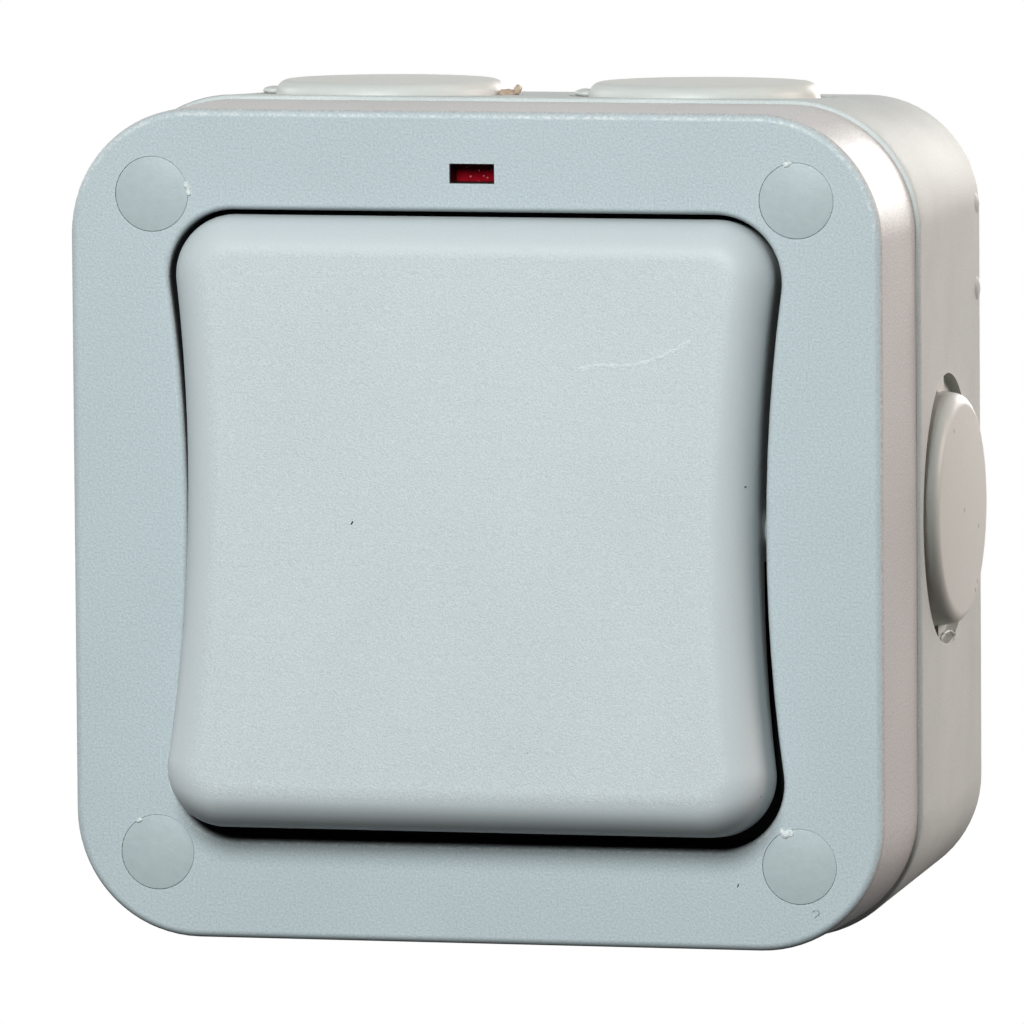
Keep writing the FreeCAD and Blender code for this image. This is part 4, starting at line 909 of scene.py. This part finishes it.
class SWITCH_OT_flash(PieceOperator, Operator):
    """Makes the ragged bits of flash that moulding left on the caps, the plugs and the box"""

    bl_idname = "switch.flash"
    bl_label = "Moulding flash"

    # On a cap: its corner, the angle from the right in degrees, share of the radius, size along and across
    ON_CAPS = (("top_left", 12.0, 0.99, 0.9, 0.4), ("top_left", 2.0, 1.02, 0.5, 0.5),
               ("top_right", 104.0, 0.99, 0.8, 0.35), ("bottom_left", 121.0, 0.98, 0.6, 0.3),
               ("bottom_right", 110.0, 0.92, 1.1, 0.7), ("bottom_right", 117.0, 1.03, 0.4, 0.6))
    FLASH_DEPTH = 0.28
    # The ring of burr in the right recess: its middle, half its sizes along Y and Z, and its bits
    RING_MIDDLE = Vector((0.0455, -0.0205, -0.0146))
    RING_REACH = (0.0030, 0.0007)
    RING_BITS = 16
    RING_BIT = (0.00035, 0.0014, 0.00028)
    # Bulges on the right wall's back edge: where and how large
    BULGES = (((0.0442, -0.0017, 0.0326), UNTURNED, (0.0017, 0.0030, 0.0030)),
              ((0.0443, -0.0017, 0.0231), UNTURNED, (0.0017, 0.0030, 0.0032)))
    # The torn ear of the upper left plug
    TORN_EAR = (((-0.0043, -0.0220, 0.0459), UNTURNED, (0.0022, 0.0022, 0.0010)),
                ((-0.0032, -0.0220, 0.0463), UNTURNED, (0.0008, 0.0012, 0.0012)))

    def make(self):
        pale = moulded_plastic("flash_pale", linear(226, 230, 228), contrast=0.08, bump=0.00003,
                               roughness=0.4)
        moulded = moulded_plastic("bulge_satin", settings().finish.box_colour, contrast=0.04, bump=0.000012,
                                  roughness=0.42)
        torn = rubber("ear_torn", linear(196, 172, 150), roughness=0.45)
        grow_lumps("cap_flash", self.on_caps() + self.on_ring(), 0.25, pale)
        grow_lumps("box_bulges", self.BULGES, 0.1, moulded)
        grow_lumps("torn_ear", self.TORN_EAR, 0.3, torn)

    def on_caps(self):
        flash = settings().cap.flash
        seats = []
        for corner, angle, share, along, across in self.ON_CAPS:
            low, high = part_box("screw_cap_" + corner)
            radius = (high.x - low.x) / 2 * share
            turn = math.radians(angle)
            seat = (low + high) / 2 + Vector((math.cos(turn), 0.0, math.sin(turn))) * radius
            seat.y = low.y
            size = Vector((across, self.FLASH_DEPTH, along)) * flash
            seats.append((seat, (0.0, -turn, 0.0), size))
        return seats

    def on_ring(self):
        reach_y, reach_z = self.RING_REACH
        seats = []
        for number in range(self.RING_BITS):
            turn = math.tau * number / self.RING_BITS
            seat = self.RING_MIDDLE + Vector((0.0, math.cos(turn) * reach_y, math.sin(turn) * reach_z))
            along = math.atan2(math.cos(turn) * reach_z, -math.sin(turn) * reach_y)
            seats.append((seat, (along, 0.0, 0.0), self.RING_BIT))
        return seats


class SWITCH_OT_wear(PieceOperator, Operator):
    """Makes the specks of dirt on the rocker and the cover and the pale scuff on the rocker"""

    bl_idname = "switch.wear"
    bl_label = "Dirt and scuffs"

    # Each speck: where it lies, its turn in the face and its length, in metres and radians
    ON_ROCKER = (((-0.01222, -0.0608, 0.00105), 1.0, 0.0005), ((0.0315, -0.05799, 0.00547), 0.4, 0.0004),
                 ((0.0335, -0.0598, -0.0283), 0.9, 0.0003), ((0.00815, -0.0632, -0.02366), 0.2, 0.0002))
    ON_COVER = (((0.0296, -0.0545, -0.0388), 1.2, 0.00045),)
    HAIR = (((0.03816, -0.0545, -0.04137), 0.5, 0.0005), ((0.03861, -0.0545, -0.04136), -0.5, 0.0005),
            ((0.03868, -0.0545, -0.0417), 1.3, 0.0005), ((0.03838, -0.0545, -0.0420), 0.8, 0.0005))
    SPECK = Vector((1.0, 0.3, 0.35))
    # The scuff's line over the rocker's face
    SCUFF = ((0.01308, -0.05916, 0.01812), (0.01465, -0.05912, 0.01847), (0.01622, -0.05911, 0.0186),
             (0.0178, -0.05912, 0.01851), (0.01938, -0.05911, 0.01864), (0.02094, -0.05906, 0.0191),
             (0.02251, -0.05901, 0.01966), (0.02407, -0.05893, 0.02044), (0.02562, -0.05884, 0.02144))
    SCUFF_BIT = (0.0021, 0.00006, 0.0006)
    SCUFF_TONE = 1.07

    def make(self):
        dirt = rubber("dirt_dark", linear(52, 48, 44), roughness=0.7)
        hair = rubber("hair_grey", linear(160, 168, 170), roughness=0.6)
        scuffed = moulded_plastic("scuff_pale", tinted(settings().finish.rocker_colour, self.SCUFF_TONE),
                                  contrast=0.15, bump=0.000028, roughness=0.5)
        grow_lumps("rocker_specks", self.specks(self.ON_ROCKER), 0.08, dirt, ROCKER)
        grow_lumps("cover_specks", self.specks(self.ON_COVER), 0.08, dirt)
        grow_lumps("cover_hair", self.specks(self.HAIR), 0.03, hair)
        grow_lumps("rocker_scuff", self.scuff(), 0.05, scuffed, ROCKER)

    def specks(self, places):
        return [(spot, (0.0, -turn, 0.0), self.SPECK * length) for spot, turn, length in places]

    def scuff(self):
        spots = [Vector(spot) for spot in self.SCUFF]
        seats = []
        for first, second in zip(spots, spots[1:]):
            way = second - first
            seats.append(((first + second) / 2, (0.0, -math.atan2(way.z, way.x), 0.0), self.SCUFF_BIT))
        return seats


class SWITCH_OT_neon(PieceOperator, Operator):
    """Finishes the red window and the lamp behind it"""

    bl_idname = "switch.neon"
    bl_label = "Neon window"

    def make(self):
        dress_nodes(lens_red(), "neon_lens")
        dress_nodes(lamp_glass(), "neon_lamp")
        # A dark sleeve on the window's walls stands in for their shade: painted shade
        dark = moulded_plastic("sleeve_dark", linear(30, 6, 9), contrast=0.2, bump=0.00001, roughness=0.5)
        sleeve = link_piece("window_sleeve", self.sleeve_mesh(settings().window), dark)
        finish_piece(sleeve)

    def sleeve_mesh(self, window):
        """A thin rounded frame from the lens to just behind the cover's front, which carries the painted
        shade of the window's walls.
        """
        lens_low, lens_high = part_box("neon_lens")
        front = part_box("front_cover")[0].y + window.set_back
        middle = (lens_low + lens_high) / 2
        work = bmesh.new()
        rings = []
        for wall, depth in ((0.0, lens_low.y), (0.0, front), (window.wall, front), (window.wall, lens_low.y)):
            corners = rounded_corners(window.width / 2 - wall, window.height / 2 - wall, window.corner)
            rings.append([work.verts.new((middle.x + x, depth, middle.z + z)) for x, z in corners])
        for first, second in zip(rings, rings[1:] + rings[:1]):
            for number in range(len(first)):
                after = (number + 1) % len(first)
                work.faces.new((first[number], first[after], second[after], second[number]))
        bmesh.ops.recalc_face_normals(work, faces=work.faces)
        shade_by_angle(work)
        return close_work(work, bpy.data.meshes.new("window_sleeve"))


class SWITCH_OT_inside(PieceOperator, Operator):
    """Finishes the mechanism, seals, screws and terminals inside"""

    bl_idname = "switch.inside"
    bl_label = "Inside"

    def make(self):
        finish = settings().finish
        brass = metal("terminal_brass", finish.brass_colour, roughness=0.32)
        steel = metal("screw_steel", finish.steel_colour, roughness=0.36)
        black = moulded_plastic("mechanism_black", linear(38, 38, 40), contrast=0.1, bump=0.00002,
                                roughness=0.5)
        white = moulded_plastic("dolly_white", linear(226, 226, 220), contrast=0.03, bump=0.00002,
                                roughness=0.45)
        seal = rubber("seal_dark", linear(58, 58, 60), roughness=0.6)
        dress_nodes(brass, "cover_screw_inserts", "earth_terminal",
                    *self.pairs("supply_terminal", "load_terminal", "moving_contact"))
        dress_nodes(steel, "cover_screws", "mechanism_screws", "terminal_screws", "earth_screw",
                    *self.pairs("plunger_spring"))
        dress_nodes(black, "mechanism_housing", "mechanism_base", "earth_cradle")
        dress_nodes(white, "dolly", *self.pairs("plunger"))
        dress_nodes(seal, "cover_gasket", "rocker_seal")

    def pairs(self, *kinds):
        return [f"{kind}_{side}" for kind in kinds for side in ("left", "right")]


# Stage

# The floor's fade, as shares of its radius, and its tone for other rays and for the camera
FLOOR_FADE = (0.55, 0.98)
FLOOR_TONES = (0.1, 0.92)
FLOOR_STEPS = 96
# From where to where, up and back, the light grows from ground to sky and the reflections to white
SKY_SPAN = (-0.6, 0.8)
BACKDROP_SPAN = (0.1, 0.8)
# Each lamp: where it stands, its width and its colour
LAMPS = {
    "key": ((0.0, -0.9, 0.44), 0.37, (0.92, 0.98, 1.0)),
    "side": ((1.05, 0.42, 0.40), 0.5, (1.0, 0.85, 0.78)),
    "fill": ((-1.05, 0.3, 0.35), 0.5, (0.95, 0.98, 1.0)),
    "top": ((0.1, 0.25, 1.2), 0.6, (1.0, 0.9, 0.85)),
    "back": ((0.24, 1.2, 0.22), 0.42, (1.0, 0.97, 0.94)),
}


def emptied_tree(owner):
    owner.use_nodes = True
    owner.node_tree.nodes.clear()
    return owner.node_tree


def floor_material(radius):
    """Pale floor that keeps shadows and fades out into the white round it."""
    material = bpy.data.materials.new("floor_pale")
    tree = emptied_tree(material)
    place = split_xyz(coordinates(tree)["Object"])
    flat = join_xyz(tree, X=place["X"], Y=place["Y"])
    away = add_node(tree, "ShaderNodeVectorMath", {0: flat}, operation="LENGTH")
    fade = map_range(away.outputs["Value"], *(radius * share for share in FLOOR_FADE))
    path = tree.nodes.new("ShaderNodeLightPath")
    tone = map_range(path.outputs["Is Camera Ray"], 0.0, 1.0, *FLOOR_TONES)
    pale = add_node(tree, "ShaderNodeBsdfDiffuse", {"Color": tone})
    clear = tree.nodes.new("ShaderNodeBsdfTransparent")
    mixed = add_node(tree, "ShaderNodeMixShader", {0: fade, 1: pale.outputs[0], 2: clear.outputs[0]})
    add_node(tree, "ShaderNodeOutputMaterial", {"Surface": mixed.outputs[0]})
    return material


def white_world(stage):
    """White where the camera sees it or the backdrop is reflected, and a plain soft light elsewhere."""
    world = bpy.data.worlds.new("studio")
    tree = emptied_tree(world)
    path = tree.nodes.new("ShaderNodeLightPath").outputs
    seen = math_node("MAXIMUM", path["Is Camera Ray"], path["Is Transmission Ray"])
    way = split_xyz(coordinates(tree)["Generated"])
    soft = map_range(way["Z"], *SKY_SPAN, stage.ground, stage.sky)
    reflected = map_range(way["Y"], *BACKDROP_SPAN, stage.front, 1.0)
    indirect = mix_value(path["Is Glossy Ray"], soft, reflected)
    light = add_node(tree, "ShaderNodeBackground", {
        "Color": (1.0, 1.0, 1.0, 1.0), "Strength": mix_value(seen, indirect, 1.0)})
    add_node(tree, "ShaderNodeOutputWorld", {"Surface": light.outputs[0]})
    return world


def area_lamp(name, spot, aim, width, power, colour):
    data = bpy.data.lights.new(name, "AREA")
    data.shape = "DISK"
    data.size = width
    data.energy = power
    data.color = colour
    lamp = link_object(name, data)
    lamp.location = spot
    lamp.rotation_euler = (Vector(aim) - Vector(spot)).to_track_quat("-Z", "Y").to_euler()


class SWITCH_OT_stage(PieceOperator, Operator):
    """Sets up the floor, the light and the camera"""

    bl_idname = "switch.stage"
    bl_label = "Stage"

    def make(self):
        stage = settings().stage
        scene = bpy.context.scene
        scene.view_settings.view_transform = "Standard"
        scene.world = white_world(stage)
        work = bmesh.new()
        bmesh.ops.create_circle(work, cap_ends=True, segments=FLOOR_STEPS, radius=stage.floor_radius)
        bmesh.ops.translate(work, verts=work.verts, vec=(0.0, 0.0, stage.floor_level))
        mesh = close_work(work, bpy.data.meshes.new("floor"))
        link_piece("floor", mesh, floor_material(stage.floor_radius))
        middle = (CAD_BOX[0] + CAD_BOX[1]) / 2
        for name, (spot, width, colour) in LAMPS.items():
            area_lamp(name + "_lamp", spot, middle, width, getattr(stage, name), colour)
        self.add_camera(scene, stage)

    def add_camera(self, scene, stage):
        data = bpy.data.cameras.new("photo_camera")
        data.lens = stage.focal_length
        data.dof.use_dof = False
        camera = link_object("photo_camera", data)
        turn = (Matrix.Rotation(stage.azimuth, 4, "Z")
                @ Matrix.Rotation(math.pi / 2 - stage.elevation, 4, "X")
                @ Matrix.Rotation(stage.roll, 4, "Z"))
        step_back = Matrix.Translation((0.0, 0.0, stage.distance))
        camera.matrix_world = Matrix.Translation(stage.target) @ turn @ step_back
        scene.camera = camera


class SWITCH_PT_pieces(Panel):
    """Lists the pieces of the switch"""

    bl_idname = "SWITCH_PT_pieces"
    bl_label = "Weatherproof switch"
    bl_space_type = "VIEW_3D"
    bl_region_type = "UI"
    bl_category = "Switch"

    def draw(self, context):
        for operator in OPERATORS:
            self.layout.operator(operator.bl_idname)


GROUPS = (SwitchFinish, SwitchPlug, SwitchCap, SwitchWindow, SwitchStage, SwitchSettings)
OPERATORS = (SWITCH_OT_mouldings, SWITCH_OT_plugs, SWITCH_OT_caps, SWITCH_OT_flash, SWITCH_OT_wear,
             SWITCH_OT_neon, SWITCH_OT_inside, SWITCH_OT_stage)
CLASSES = GROUPS + OPERATORS + (SWITCH_PT_pieces,)


def register():
    for entry in CLASSES:
        bpy.utils.register_class(entry)
    bpy.types.Scene.weather_switch = settings_group(SwitchSettings, "Weatherproof switch")


def unregister():
    del bpy.types.Scene.weather_switch
    for entry in reversed(CLASSES):
        bpy.utils.unregister_class(entry)


def main():
    register()
    for operator in OPERATORS:
        group, call = operator.bl_idname.split(".")
        getattr(getattr(bpy.ops, group), call)()


if __name__ == "__main__":
    main()
